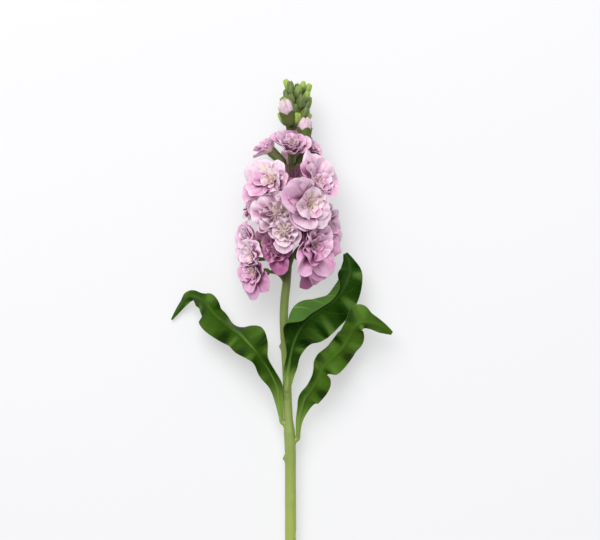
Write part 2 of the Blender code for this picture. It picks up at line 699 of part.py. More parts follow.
def ring_of_petals(flower, ring_number, limits, seed):
    """A ring of petals, each as its middle points and their facing, and how far each is open."""
    ring = flower.rings[ring_number]
    step = 2 * math.pi / PETAL_COUNT
    start = math.radians(flower.spin) + step / 2 * ring_number
    turns = [start + step * k for k in range(PETAL_COUNT)]
    seeds = [1000 * seed + 100 * ring_number + k for k in range(PETAL_COUNT)]
    opened = [openness_of(flower, ring, *sort) for sort in zip(turns, limits, seeds)]
    petals = []
    for k in range(PETAL_COUNT):
        # Where two petals meet, the one that stands more upright lies inside the other.
        left = ring["over"] if opened[k] < opened[k - 1] else ring["under"]
        right = ring["over"] if opened[k] <= opened[(k + 1) % PETAL_COUNT] else ring["under"]
        petals.append(petal(flower, ring, turns[k], opened[k], seeds[k], (left, right)))
    return petals, opened


def bloom_mesh(flower, seed):
    """A bloom as one closed skin: a small core from whose sides the petals are drawn out."""
    throat, facing, _ = flower_axis(flower)
    rings, limits = [], [1.0] * PETAL_COUNT
    for ring_number in range(len(flower.rings)):
        petals, opened = ring_of_petals(flower, ring_number, limits, seed)
        rings.append(petals)
        limits = [INNER_SHARE * min(pair) for pair in zip(opened, opened[1:] + opened[:1])]
    # Four corners of each core ring belong to a petal: its left, middle and right, and the gap.
    count = 4 * PETAL_COUNT
    turns = [2 * math.pi * (k - 1) / count + math.radians(flower.spin) for k in range(count)]
    core = CORE_RINGS[: len(rings) + 1]
    points = [throat, throat + (core[-1][1] - THROAT_DEPTH) * facing]
    for radius, height in core:
        points.extend(throat + radius * around(flower, turn)[0] + height * facing for turn in turns)
    faces = []
    for k in range(count):
        following = (k + 1) % count
        top = 2 + len(rings) * count
        faces.append((0, 2 + following, 2 + k))
        faces.append((1, top + k, top + following))
    walls = walls_of(flower)
    for ring_number, petals in enumerate(rings):
        low = 2 + ring_number * count
        high = low + count
        for k, (middle, looks) in enumerate(petals):
            first = 4 * k + 2 * ring_number
            corners = [(first + step) % count for step in range(5)]
            for here, there in zip(corners[2:4], corners[3:5]):
                faces.extend(two_triangles(low + here, low + there, high + there, high + here))
            middle = pressed_back(middle, walls)
            half = looks * PETAL_THICKNESS / 2
            under, over = [low + c for c in corners[:3]], [high + c for c in corners[:3]]
            for row in range(middle.shape[1]):
                start = len(points)
                points.extend((middle - half)[:, row])
                points.extend((middle + half)[:, row])
                next_under, next_over = list(range(start, start + 3)), list(range(start + 3, start + 6))
                for side in (0, 1):
                    for near, far in ((under, next_under), (over, next_over)):
                        faces.extend(two_triangles(near[side], near[side + 1], far[side + 1], far[side]))
                faces.extend(two_triangles(under[0], over[0], next_over[0], next_under[0]))
                faces.extend(two_triangles(under[2], over[2], next_over[2], next_under[2]))
                under, over = next_under, next_over
            for side in (0, 1):
                faces.extend(two_triangles(under[side], under[side + 1], over[side + 1], over[side]))
    return np.array(points), faces


def two_triangles(a, b, c, d):
    """A four-sided face, split along its first corner's diagonal."""
    return [(a, b, c), (a, c, d)]


def clear_of_green(made):
    """Cuts an object clear of any green part that it would touch."""
    combine(made, cut=pieces([stem_tube(GAP)] + green_shapes(GAP)))


def build_bloom(index, flower):
    """An open bloom."""
    bloom = make_object("bloom_" + flower.name, bloom_mesh(flower, index))
    clear_of_green(bloom)
    finish(bloom, "petals")


def build_pink_bud(flower):
    """The furled petals at the top of an opening bud, with their folds."""
    throat, facing, _ = flower_axis(flower)
    places, widths = zip(*PINK_BUD_PROFILE)
    line = np.array([throat + place * flower.length * facing for place in places])
    radii = np.array(widths) * flower.radius
    folded = tube_mesh(line, radii, PINK_BUD_SIDES, PINK_BUD_FOLDS, PINK_BUD_FOLD_DEPTH)
    bud = make_object("bud_" + flower.name, folded)
    clear_of_green(bud)
    finish(bud, "bud")


def curl_made(leaf, sign, shares):
    """How much of its curl a half blade has made at each share of its width."""
    if sign > 0 or "roll" not in leaf:
        return shares**CURL_POWER
    start, end = leaf["roll"]
    made = np.clip((shares - start) / (end - start), 0, 1)
    return made * made * (3 - 2 * made)


def leaf_sheet(leaf, across_count, along_count):
    """A leaf's middle surface, and the thickness of the blade and its rib at each point."""
    rows = [[*place, *left, *right] for place, left, right in leaf["stations"]]
    values = smooth_through(rows, np.linspace(0, 1, along_count + 1))
    line = values[:, :3]
    tangents = np.gradient(line, axis=0)
    tangents /= np.linalg.norm(tangents, axis=1)[:, None]
    right_way = np.cross(tangents, np.array((0.0, 0.0, 1.0)))
    right_way /= np.linalg.norm(right_way, axis=1)[:, None]
    up_way = np.cross(right_way, tangents)
    half = np.linspace(0, 1, across_count // 2 + 1)[1:]
    sides = []
    for column, sign in ((3, -1), (6, 1)):
        width, angle, curl = values[:, column], values[:, column + 1], values[:, column + 2]
        fine = np.linspace(0, 1, CURL_STEPS + 1)
        turned = np.radians(angle[:, None] + curl[:, None] * curl_made(leaf, sign, fine)[None, :])
        strides = np.maximum(width, LEAST_HALF_LEAF)[:, None] / CURL_STEPS
        out = np.cumsum(np.cos(turned) * strides, axis=1) - np.cos(turned) * strides
        rise = np.cumsum(np.sin(turned) * strides, axis=1) - np.sin(turned) * strides
        side = []
        for share in half:
            aside, above = ([[np.interp(share, fine, row)] for row in grid] for grid in (out, rise))
            side.append(line + sign * np.array(aside) * right_way + np.array(above) * up_way)
        sides.append(side if sign > 0 else side[::-1])
    middle = np.array([*sides[0], line, *sides[1]])
    shares = np.linspace(-1, 1, across_count + 1)[:, None]
    rib_places = np.linspace(0, 1, len(leaf["rib"]))
    rib = np.interp(np.linspace(0, 1, along_count + 1), rib_places, leaf["rib"])[None, :]
    widths = np.where(shares < 0, values[:, 3][None, :], values[:, 6][None, :])
    thickness = LEAF_THICKNESS + rib * np.exp(-((shares * widths / RIB_WIDTH) ** 2))
    return middle, thickness


def build_leaf(name, leaf):
    """A blade with its waved margin and thick midrib, whose base sits against the stem."""
    finish(make_object(name, sheet_mesh(*leaf_sheet(leaf, LEAF_ACROSS, LEAF_ALONG))), "leaf")


def main():
    for old in list(bpy.data.objects):
        bpy.data.objects.remove(old)
    build_stem()
    for index, flower in enumerate(BLOOMS):
        build_bloom(index, flower)
    for flower in PINK_BUDS:
        build_pink_bud(flower)
    for name, leaf in LEAVES.items():
        build_leaf(name, leaf)


main()
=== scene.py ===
# %% [markdown]
# # A cut stem of stock
#
# Stock is a garden flower with a crowded spike of ruffled double blooms on one green stalk. This one
# lies on a pale table and is seen from straight above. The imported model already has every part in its
# place: the stalk, 24 blooms, 3 pink buds and 3 leaves. It is made of plain facets, so this script
# grows a finer piece in the place of each: thin petals in many rings, veined leaves, a ridged stalk.

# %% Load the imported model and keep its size
import math
import random

import bpy
import numpy as np
from mathutils import Matrix, Vector
from mathutils.bvhtree import BVHTree


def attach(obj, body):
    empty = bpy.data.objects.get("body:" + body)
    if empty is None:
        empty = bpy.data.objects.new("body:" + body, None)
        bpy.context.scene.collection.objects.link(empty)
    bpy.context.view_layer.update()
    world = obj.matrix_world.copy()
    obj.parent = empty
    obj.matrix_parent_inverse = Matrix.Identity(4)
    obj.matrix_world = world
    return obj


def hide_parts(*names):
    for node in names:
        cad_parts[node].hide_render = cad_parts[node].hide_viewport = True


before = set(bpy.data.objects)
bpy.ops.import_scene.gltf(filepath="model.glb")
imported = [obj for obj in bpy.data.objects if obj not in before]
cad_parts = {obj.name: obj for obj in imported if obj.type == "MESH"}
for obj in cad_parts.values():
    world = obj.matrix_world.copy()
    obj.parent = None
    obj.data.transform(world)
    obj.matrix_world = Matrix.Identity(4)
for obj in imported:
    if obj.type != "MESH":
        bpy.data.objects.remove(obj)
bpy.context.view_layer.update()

# %% [markdown]
# ## The line that everything grows from
#
# A plant is easiest to build from its own middle line. Sizes here are in millimetres from the cut end
# of the stalk, and a mesh is turned into metres only when it is made. Angles round the stalk are in
# degrees: 0 is to the right, 90 towards the sky, 180 to the left.

# %% The stalk's middle line and thickness
MM = 0.001
ORIGIN = np.array((-4.3, 198.4, 0))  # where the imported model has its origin, in these millimetres
ALONG_STEM = np.array((0, 1, 0))
UP = np.array((0, 0, 1))
STEM_LENGTH = 396
STEM_LINE = (
    (2.3, 0, 2.9), (1.8, 60, 7.9), (1.6, 126, 12.9), (1.4, 158, 15.4), (0.6, 174, 16.7),
    (-0.3, 190, 17.9), (-0.8, 207, 19.3), (-2, 228, 21), (-2.7, 244, 22.3), (-2.2, 256, 23.2),
    (-1, 267, 24.1), (0.2, 284, 25.3), (1.6, 308, 26.8), (2.8, 330, 28.2), (2.4, 348, 29.2),
    (3.2, 366, 30.2), (5.2, 379, 31), (5.8, 390, 31.5), (5.5, 395.5, 31.6),
)
RADIUS_PLACES = (0, 150, 170, 178, 262, 310, 366, STEM_LENGTH)
RADIUS_VALUES = (3.6, 3.55, 3.7, 2.85, 2.75, 2.4, 1.9, 1)
print(len(STEM_LINE), "points on the line")

# %% Smooth lines and directions
def unit(vectors):
    """Vectors made one long."""
    return vectors / np.maximum(np.linalg.norm(vectors, axis=-1, keepdims=True), 1e-9)


def smooth_through(rows, steps):
    """The rows read along a smooth curve through them, at steps from 0 to 1."""
    rows = np.array(rows, float)
    padded = np.vstack([2 * rows[0] - rows[1], rows, 2 * rows[-1] - rows[-2]])
    place = np.asarray(steps, float) * (len(rows) - 1)
    start = np.minimum(place.astype(int), len(rows) - 2)
    part = (place - start)[:, None]
    a, b, c, d = (padded[start + k] for k in range(4))
    bend = (2 * a - 5 * b + 4 * c - d) * part**2 + (3 * b - a - 3 * c + d) * part**3
    return 0.5 * (2 * b + (c - a) * part + bend)


STEM_POINTS = smooth_through(STEM_LINE, np.linspace(0, 1, 400))


def stem_at(y):
    """The middle of the stalk at a distance y from the cut end."""
    return np.array([np.interp(y, STEM_POINTS[:, 1], STEM_POINTS[:, k]) for k in range(3)])


def stem_radius(y):
    return np.interp(y, RADIUS_PLACES, RADIUS_VALUES)


def outward(turn):
    """The direction away from the stalk at an angle round it."""
    angle = math.radians(turn)
    return np.array((math.cos(angle), 0, math.sin(angle)))


def leaning(away, lean):
    """A direction that leans from straight outwards towards the tip."""
    lean = math.radians(lean)
    return math.cos(lean) * away + math.sin(lean) * ALONG_STEM


print("stalk from", stem_at(0), "to", stem_at(STEM_LENGTH))

# %% [markdown]
# ## Node trees written as sums
#
# A finish and a Geometry Nodes tree are both graphs of nodes. Long graphs are hard to read when each
# node takes three lines, so a small class wraps a socket: `a * b + 1` adds the Math nodes for that
# sum. One method adds any other node from its type, its settings and what goes into its sockets.

# %% A socket that can be added and multiplied
def math_node(operation):
    """A function, or a method of Value, that adds one Math node to the tree of its first value."""

    def add(first, *others):
        values = dict(enumerate((first, *others)))
        return first.tree.node("ShaderNodeMath", {"operation": operation}, values)

    return add


class Value:
    """The output of a node, used in sums as if it were a number."""

    def __init__(self, tree, socket):
        self.tree = tree
        self.socket = socket

    def __rsub__(self, other):
        return self.tree.node("ShaderNodeMath", {"operation": "SUBTRACT"}, {0: other, 1: self})

    __add__ = __radd__ = math_node("ADD")
    __mul__ = __rmul__ = math_node("MULTIPLY")
    __sub__ = math_node("SUBTRACT")
    __truediv__ = math_node("DIVIDE")
    __pow__ = math_node("POWER")
    __abs__ = math_node("ABSOLUTE")


sine, cosine, smaller, larger = map(math_node, ("SINE", "COSINE", "MINIMUM", "MAXIMUM"))

# %% A tree of nodes
class Tree:
    """A node tree and the one method that adds a node to it."""

    def __init__(self, graph):
        self.graph = graph

    def node(self, kind, settings, inputs, output=0):
        made = self.graph.nodes.new(kind)
        for name, value in settings.items():
            setattr(made, name, value)
        for name, value in inputs.items():
            if isinstance(value, Value):
                self.graph.links.new(value.socket, made.inputs[name])
            else:
                made.inputs[name].default_value = value
        return Value(self, made.outputs[output])


# %% Ramps, vectors and noise
def ramp(value, low, high):
    """0 below low and 1 above high, with a smooth change between them."""
    ends = {"Value": value, "From Min": low, "From Max": high}
    return value.tree.node("ShaderNodeMapRange", {"interpolation_type": "SMOOTHSTEP"}, ends)


def vector(x, y, z):
    return x.tree.node("ShaderNodeCombineXYZ", {}, {"X": x, "Y": y, "Z": z})


def noise(place, scale):
    """Cloudy noise round 0, from about -1 to 1."""
    inputs = {"Vector": place, "Scale": scale, "Detail": 2}
    return (place.tree.node("ShaderNodeTexNoise", {}, inputs) - 0.5) * 2.6


# %% [markdown]
# ## From points to pieces
#
# Each piece is worked out as points and faces. Numbers are kept at the points as well, such as how far
# along a petal they are, because the finish needs them: veins and the cream throat follow the petal
# and not the room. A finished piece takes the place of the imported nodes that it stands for.

# %% Meshes and finished pieces
def make_mesh(name, points, faces, **marks):
    """A mesh in metres, with its marks as numbers at the points."""
    mesh = bpy.data.meshes.new(name)
    mesh.from_pydata(((points - ORIGIN) * MM).tolist(), [], [tuple(map(int, face)) for face in faces])
    for mark, values in marks.items():
        values = np.ravel(values).astype(np.float32)
        mesh.attributes.new(mark, "FLOAT", "POINT").data.foreach_set("value", values)
    return mesh


def show(name, mesh, finish, slot, *nodes):
    """Puts a finished mesh in the scene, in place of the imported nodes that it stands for."""
    piece = bpy.data.objects.new(name, mesh)
    bpy.context.scene.collection.objects.link(piece)
    mesh.materials.clear()
    mesh.materials.append(finish)
    mesh.shade_smooth()
    mesh.set_sharp_from_angle(angle=math.radians(60))
    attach(piece, "root")
    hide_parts(*nodes)
    mesh.calc_loop_triangles()
    print(name, len(mesh.loop_triangles), "triangles")


def show_shape(name, shape, finish):
    """Shows points, faces and marks as a green piece of the stem."""
    points, faces, marks = shape
    show(name, make_mesh(name, points, faces, **marks), finish, "stem", "stem")


# %% [markdown]
# ## Finishes
#
# Petals of stock are soft and matte, with cream-green throats, a lilac blade that varies from petal to
# petal, fine veins that fan out from the foot, and margins painted paler as a highlight. They are so
# thin that light passes through, which a little subsurface scattering gives. Between the blooms the
# light goes from petal to petal and turns magenta. A few bounces show only part of that, so two marks,
# how deep in the head a point lies and how closely other petals stand round it, paint a darker magenta
# shade there.

# %% Colours, and a finish with its shader
def light_of(colour):
    """A screen colour, from 0 to 255, as the light that a shader wants; a socket stays as it is."""
    if isinstance(colour, Value):
        return colour
    shares = [value / 255 for value in colour]
    return (*(s / 12.92 if s <= 0.04045 else ((s + 0.055) / 1.055) ** 2.4 for s in shares), 1)


print("the petals' lilac as light:", [round(part, 2) for part in light_of((230, 176, 208))])

# %% A finish with its shader
class Finish(Tree):
    """A material that light glows through, with a shader that is fed by sums over the surface."""

    def __init__(self, name, glow, tint=(0.6, 1, 0.2), depth=0.001, **constants):
        self.material = bpy.data.materials.new(name)
        self.material.use_nodes = True
        super().__init__(self.material.node_tree)
        self.shader = self.graph.nodes["Principled BSDF"]
        constants |= dict(Subsurface_Weight=glow, Subsurface_Radius=tint, Subsurface_Scale=depth)
        for socket, value in constants.items():
            self.shader.inputs[socket.replace("_", " ")].default_value = value

    def mark(self, name):
        return self.node("ShaderNodeAttribute", {"attribute_name": name}, {}, output="Fac")

    def noise(self, scale, across=1000, along=1000):
        """Noise over the piece in millimetres, or stretched along the stalk."""
        where = self.node("ShaderNodeTexCoord", {}, {}, output="Object")
        scales = {"Vector": where, "Scale": (across, along, across)}
        return noise(self.node("ShaderNodeMapping", {}, scales), scale)

    def layered(self, base, *layers):
        """A colour with others laid over it in turn, each as thickly as its share says."""
        for share, over in layers:
            inputs = {0: share, 6: light_of(base), 7: light_of(over)}
            base = self.node("ShaderNodeMix", {"data_type": "RGBA"}, inputs, output=2)
        return base

    def feed(self, socket, value):
        self.graph.links.new(value.socket, self.shader.inputs[socket])

    def done(self, base, roughness, height, strength, depth=0.0002):
        """Feeds the shader a colour, a roughness and a bump, and gives back the material."""
        bump = {"Height": height, "Strength": strength, "Distance": depth}
        self.feed("Base Color", base)
        self.feed("Roughness", roughness)
        self.feed("Normal", self.node("ShaderNodeBump", {}, bump))
        return self.material


# %% Petals
def petal_finish(name, pale, middle, deep):
    """Cream throat, lilac blade with fine veins, a margin painted paler as a highlight, and painted
    magenta shade; the underside is duller.
    """
    paint = Finish(name, 0.2, (1, 0.45, 0.8), 0.0015, Sheen_Weight=0.12, Specular_IOR_Level=0.35)
    along, across, heart, tone = map(paint.mark, ("along", "across", "heart", "tone"))
    patch = noise(vector(across * 1.7, along * 1.2, tone * 9), 1.6)
    # Veins fan out from the foot and wander a little.
    fan = across * 15 + noise(vector(across * 3, along * 2.5, tone * 7), 1.3) * 1.5
    vein = ramp(sine(fan), 0.55, 1) * ramp(along, 0.1, 0.35) * (1 - ramp(along, 0.7, 1))
    depth = 0.42 + tone * 0.34 + patch * 0.3 + paint.noise(0.16) * 0.12 - heart * 0.2
    # The margin is painted paler: a painted highlight where the ruffled edge catches the light.
    depth = depth - ramp(along, 0.78, 1) * 0.2
    cream = 1 - ramp(along + patch * 0.1 - heart * 0.4 + tone * 0.22, 0.1, 0.5)
    throat = 1 - ramp(along + patch * 0.05, 0.03, 0.26)
    pale_bloom = ramp(tone * -1, 0.3, 1.1)
    # Painted shade: magenta where other petals close round a point, less on cream and on pale blooms.
    painted_crease_shade = ramp(paint.mark("enclosed"), 0.32, 1) * (0.85 - heart * 0.4 - cream * 0.35)
    blade = paint.layered(
        pale,
        (ramp(depth, 0, 0.55), middle),
        (ramp(depth, 0.5, 1.1), deep),
        (vein * 0.34, deep),
        (ramp(depth, 1, 1.7), (150, 62, 122)),
        (cream * 0.9, (247, 237, 204)),
        (throat * (0.8 - pale_bloom * 0.5), (186, 172, 104)),
        (paint.mark("under") * 0.35, middle),
        # Painted shade: a darker magenta the deeper a point lies in the head.
        (ramp(paint.mark("buried"), 0.15, 0.6) * 0.85, (146, 52, 112)),
        (painted_crease_shade * (1 - pale_bloom * 0.75), (136, 44, 102)),
    )
    grain = paint.noise(2.2)
    return paint.done(blade, 0.6 + grain * 0.05 - vein * 0.06, grain * 0.35 + vein * 0.8, 0.35)


PETALS = petal_finish("petals", (246, 217, 232), (230, 176, 208), (196, 108, 166))
print("petal finish:", len(PETALS.node_tree.nodes), "nodes")

# %% [markdown]
# ## Blooms
#
# A double bloom has thirty petals or more in rings: the outer ones bend past flat, the inner ones
# are still upright and crumpled. All blooms share a few kinds of rings. A table then says where each
# one stands round the stalk, which way it faces and how large, how deep in colour and how open it is.

# %% Rings of petals
# For each ring the number of petals, their length and width in bloom radii, their angles at the foot
# and at the rim in degrees, how far out and how high the foot is, and the size of the waves, of the
# hollow, of the twist and of the folds in what has no room to lie flat.
RING_FACTS = ("count", "length", "width", "claw", "rim")
COPIED_FACTS = ("foot_out", "foot_rise", "wave", "cup", "tilt", "pleat")
RINGS = (
    (5, 1.08, 0.76, 44, 108, 2.6, 0.6, 0.04, 0.07, 0.075, 0.2),
    (4, 1.00, 0.72, 37, 90, 2.4, 1.4, 0.05, 0.07, 0.06, 0.2),
    (4, 0.80, 0.60, 29, 70, 2.1, 2.2, 0.065, 0.08, 0.05, 0.2),
    (3, 0.60, 0.46, 20, 50, 1.8, 3, 0.08, 0.08, 0.04, 0.2),
    (4, 0.62, 0.44, 10, 40, 1.4, 3.5, 0.12, 0.08, 0.03, 0.5),
    (4, 0.56, 0.34, 2, 34, 0.8, 3.9, 0.14, 0.05, 0.02, 0.5),
)
*FULL, FRILL, HEART = (dict(zip(RING_FACTS + COPIED_FACTS, row)) for row in RINGS)
OPEN = (
    FULL[0] | dict(rim=104, wave=0.075),
    FULL[1] | dict(claw=42, rim=88, wave=0.08),
    FULL[2] | dict(length=0.78, claw=38, rim=76),
    FULL[3] | dict(length=0.50, claw=32, rim=66),
    FULL[3] | dict(length=0.26, width=0.2, claw=14, rim=30, foot_out=1, foot_rise=1.5),
)
LOOSE = [ring | dict(rim=rim) for ring, rim in zip(FULL, (102, 84, 60, 44))]
HALF = (
    FULL[0] | dict(count=4, length=1.15, width=0.95, claw=38, rim=96),
    FULL[1] | dict(length=1.05, claw=28, rim=78),
    FULL[2] | dict(claw=20, rim=60),
    FULL[3] | dict(claw=12, rim=42),
)
RUFFLED = [ring | dict(pleat=0.5, wave=1.3 * ring["wave"]) for ring in FULL] + [FRILL, HEART]
print("rings of a ruffled bloom:", [ring["count"] for ring in RUFFLED])

# %% Where each bloom stands
# Name, place along the stalk, angle round it, reach from its middle, lean towards the tip, radius,
# turn about its own axis, length of its stalk, rings, how deep its lilac is (for blooms that lie deep
# among the others it is partly painted shade), the side seen from above on which its petals are longer,
# by how much, and for one of them the size of its green cup.
BLOOMS = (
    ("crown_front", 351, 88, 10.5, 46, 14, 90, 11, HALF, -0.2, 180, 0.1),
    ("crown_left", 351.5, 188, 12.5, 44, 11.5, 45, 12, HALF, -0.3, 90, 0, 1.3),
    ("crown_right", 351, 20, 9.5, 44, 10.5, 30, 11, HALF, -0.1, 90, 0.1),
    ("crown_back", 347, 275, 11, 44, 13, 0, 12, LOOSE, 0),
    ("upper_left", 332, 119, 22.5, 8, 16.5, 6, 15, OPEN, -0.4, 236, 0.38),
    ("upper_right", 328.5, 54, 23, 24, 18, 20, 15, OPEN, 0, 170, 0.25),
    ("upper_back", 330, 268, 12.5, 34, 17, 0, 15, LOOSE, 0.2),
    ("mid_right", 317, 66, 26, 0, 17.5, 12, 14, OPEN, -0.7, 185, 0.36),
    ("mid_left_back", 320, 176, 18.5, 8, 16.5, 0, 15, FULL, 0.2),
    ("mid_centre", 310, 106, 23.5, 2, 16.5, 90, 14, RUFFLED, -1.2, 165, 0.3),
    ("mid_right_back", 303, 18, 19.5, 8, 17, 10, 16, FULL, 0.1),
    ("deep_upper", 318, 150, 15, 8, 14, 0, 14, LOOSE, 0.4),
    ("mid_back", 309, 288, 12.5, 22, 18, 0, 15, LOOSE, 0.2),
    ("low_centre", 300.5, 96, 26, -4, 11.5, 45, 16, RUFFLED, -1.4, 20, 0.1),
    ("low_left_upper", 292.5, 159, 22, 8, 16, 20, 16, FULL, 0.1, 0, 0.2),
    ("low_back_left", 293, 228, 14.5, 14, 17.5, 0, 16, LOOSE, 0.3, 90, 0.2),
    ("low_right", 290.5, 55, 24, 0, 20.5, 66, 18, OPEN, 1, 185, 0.34),
    ("low_left", 284, 140, 25.5, 0, 15, 30, 18, OPEN, -0.4, 350, 0.35),
    ("low_back_right", 285, 312, 15, 4, 17.5, 0, 18, LOOSE, 0.3, 90, 0.2),
    ("deep_right", 303, 52, 15, 0, 16, 20, 14, LOOSE, 1.2, 180, 0.2),
    ("deep_middle", 322, 84, 7.5, 6, 10, 30, 14, LOOSE, 0.6),
    ("deep_left", 289, 113, 13.5, 0, 13, 0, 10, RUFFLED, 1.8),
    ("bottom_left", 274, 136, 25, -2, 13, 40, 8, FULL, 0.5, 200, 0.1),
    ("bottom_right", 283, 34, 15, -16, 13, 40, 12, FULL, 1.2, 190, 0.3),
)
PINK_BUDS = (
    ("left", 374.5, 120, 8.8, 66, 6.2, 0, 13),
    ("right", 363.5, 36, 9.2, 84, 5.8, 0, 12),
    ("back", 368, 262, 9, 62, 4.2, 0, 12),
)
print(len(BLOOMS), "blooms and", len(PINK_BUDS), "pink buds")

# %% Place and facing of each bloom
class Flower:
    """Where a bloom or pink bud has its throat, and the way it faces."""

    def __init__(
        self, name, y, turn, reach, lean, radius, spin, stalk, rings=(), tone=0,
        side=0, more=0, cup=1,
    ):
        self.name, self.y, self.radius, self.rings, self.tone = name, y, radius, rings, tone
        self.cup = cup * (0.78 + 0.22 * min(radius / 14, 1))
        self.spin = math.radians(spin)
        side = math.radians(side)
        self.longer = more * np.array((math.cos(side), math.sin(side), 0))
        self.away = outward(turn)
        self.throat = stem_at(y) + reach * self.away
        self.facing = leaning(self.away, lean)
        self.start = stem_at(y - stalk)
        helper = ALONG_STEM if abs(self.facing @ ALONG_STEM) < 0.9 else np.array((1, 0, 0))
        self.first = -unit(np.cross(self.facing, helper))
        self.second = np.cross(self.facing, self.first)
        self.middle = self.throat + 0.42 * radius * self.facing

    def placed(self, local):
        """Points from the flower's own frame, in which it faces along z, to the stem's."""
        return self.throat + local @ np.stack([self.first, self.second, self.facing])

    def way(self, turn):
        """The direction of a petal, at an angle round the flower's own axis."""
        return math.cos(turn) * self.first + math.sin(turn) * self.second


BLOOMS = [Flower(*row) for row in BLOOMS]
PINK_BUDS = [Flower(*row) for row in PINK_BUDS]
print(len(BLOOMS), "blooms,", sum(ring["count"] for bloom in BLOOMS for ring in bloom.rings), "petals")

# %% [markdown]
# ## Growing things on points
#
# Geometry Nodes can put a copy of one thing on each point of a table, which is a mesh of points only.
# Numbers at the points say how each copy differs. The same few steps start and end every such tree,
# and the same few lines run it and keep what it grew as a plain mesh, so a class holds them.

# %% A tree that grows pieces on the points of a table
class Grower(Tree):
    """A Geometry Nodes tree with named inputs that grows pieces on points."""

    def __init__(self, name, **sockets):
        super().__init__(bpy.data.node_groups.new(name, "GeometryNodeTree"))
        sockets = {"Table": "Geometry"} | sockets | {"Finish": "Material"}
        for socket, kind in sockets.items():
            self.graph.interface.new_socket(socket, in_out="INPUT", socket_type="NodeSocket" + kind)
        self.graph.interface.new_socket("Pieces", in_out="OUTPUT", socket_type="NodeSocketGeometry")
        given = self.graph.nodes.new("NodeGroupInput")
        self.given = {socket: Value(self, given.outputs[socket]) for socket in sockets}

    def mark(self, name, kind="FLOAT"):
        return self.node("GeometryNodeInputNamedAttribute", {"data_type": kind}, {"Name": name})

    def copies(self, piece, **inputs):
        """A real copy of the piece on each point of the table."""
        inputs |= {"Points": self.given["Table"], "Instance": piece}
        copies = self.node("GeometryNodeInstanceOnPoints", {}, inputs)
        return self.node("GeometryNodeRealizeInstances", {}, {"Geometry": copies})

    def end(self, pieces):
        """Gives the pieces their finish and ends the tree."""
        inputs = {"Geometry": pieces, "Material": self.given["Finish"]}
        pieces = self.node("GeometryNodeSetMaterial", {}, inputs)
        self.graph.links.new(pieces.socket, self.graph.nodes.new("NodeGroupOutput").inputs["Pieces"])

    def grow(self, points, marks, inputs):
        """Runs the tree on a table of points and marks, and gives back the plain mesh that it grew."""
        table = bpy.data.meshes.new("table")
        table.from_pydata([tuple(map(float, point)) for point in points], [], [])
        for mark, values in marks.items():
            values = np.asarray(values, np.float32)
            kind, field = ("FLOAT_VECTOR", "vector") if values.ndim == 2 else ("FLOAT", "value")
            table.attributes.new(mark, kind, "POINT").data.foreach_set(field, values.reshape(-1))
        carrier = bpy.data.objects.new("table", table)
        bpy.context.scene.collection.objects.link(carrier)
        step = carrier.modifiers.new("grow", "NODES")
        step.node_group = self.graph
        for item in self.graph.interface.items_tree:
            if item.in_out == "INPUT" and item.name in inputs:
                step[item.identifier] = inputs[item.name]
        evaluated = carrier.evaluated_get(bpy.context.evaluated_depsgraph_get())
        mesh = bpy.data.meshes.new_from_object(evaluated)
        bpy.data.objects.remove(carrier)
        return mesh


# %% [markdown]
# ## The petal tree
#
# A real petal is a spoon: a narrow foot, a broad blade that arches outwards, and a margin that has
# more cloth than it needs and so ruffles. Here a flat grid on each point is bent along an arc from its
# foot, wrapped round the bloom, and then lifted by waves, folds and noise that grow towards the
# margin. As sums on a grid, the same tree gives flat outer petals and crumpled inner ones.

# %% One petal on each point
PETAL_ACROSS = 19
PETAL_ALONG = 15


def petal_tree():
    """One petal on each point of a table, bent along its arc and waved."""
    tree = Grower("petals", Across="Int", Along="Int", Crumple="Float")
    sizes = {"Size X": 2, "Size Y": 1}
    sizes |= {"Vertices X": tree.given["Across"], "Vertices Y": tree.given["Along"]}
    grid = tree.node("GeometryNodeMeshGrid", {}, sizes)
    here = tree.node("GeometryNodeInputPosition", {}, {})
    x, y = (tree.node("ShaderNodeSeparateXYZ", {}, {"Vector": here}, output=k) for k in (0, 1))
    for name, value in (("across", x), ("along", y + 0.5)):
        inputs = {"Geometry": grid, "Name": name, "Value": value}
        kinds = {"data_type": "FLOAT", "domain": "POINT"}
        grid = tree.node("GeometryNodeStoreNamedAttribute", kinds, inputs)
    petals = tree.copies(grid)
    across, along, claw, sweep = map(tree.mark, ("across", "along", "claw", "sweep"))
    length, phase, pack = map(tree.mark, ("length", "phase", "pack"))
    # The blade has a narrow foot, is widest past its middle, and its outline is round and uneven.
    outline = noise(vector(across, phase, phase), 1.7)
    reached = along * (1 - abs(across) ** 2.6 * 0.24 + outline * 0.1)
    blade = (0.2 + ramp(along, 0, 0.64) * 0.8) * (1 - ramp(along, 0.78, 1.05) * 0.28)
    angle = claw + sweep * reached
    out = tree.mark("foot_out") + length * (cosine(claw) - cosine(angle)) / sweep
    rise = tree.mark("foot_rise") + length * (sine(angle) - sine(claw)) / sweep
    wide = tree.mark("half_width") * blade
    turned = across * smaller(wide / out, pack)
    spare = larger(wide - pack * out, 0)
    # Folds run out from the foot, the sides ruffle, and noise crumples both.
    grow = along**1.6 * length * tree.mark("wave")
    frill = tree.mark("heart") * 0.5 + 0.12
    folds = sine(across * 4.2 + phase) * 0.8 + sine(across * 10 + phase * 2.3) * frill
    ruffle = abs(across) ** 2 * sine(along * 9 + phase * 1.7 + across * 2)
    crumple = noise(vector(across * 1.3, along * 1.8, phase), 1.5) * tree.given["Crumple"]
    lift = tree.mark("cup") * out * turned * turned + tree.mark("tilt") * length * across * along**1.5
    lift = lift + grow * (folds + ruffle * 0.9 + crumple)
    lift = lift + spare * tree.mark("pleat") * sine(across * 7 + phase) * along
    turned = turned + noise(vector(along * 1.5, across, phase), 1) * along * 0.06
    out = larger(out - lift * cosine(angle), 0.15)
    rise = rise + lift * sine(angle)
    turned = turned + tree.mark("turn")
    place = vector(out * cosine(turned), out * sine(turned), rise)
    tree.end(tree.node("GeometryNodeSetPosition", {}, {"Geometry": petals, "Position": place}))
    return tree


PETAL_TREE = petal_tree()
print("petal tree:", len(PETAL_TREE.graph.nodes), "nodes")

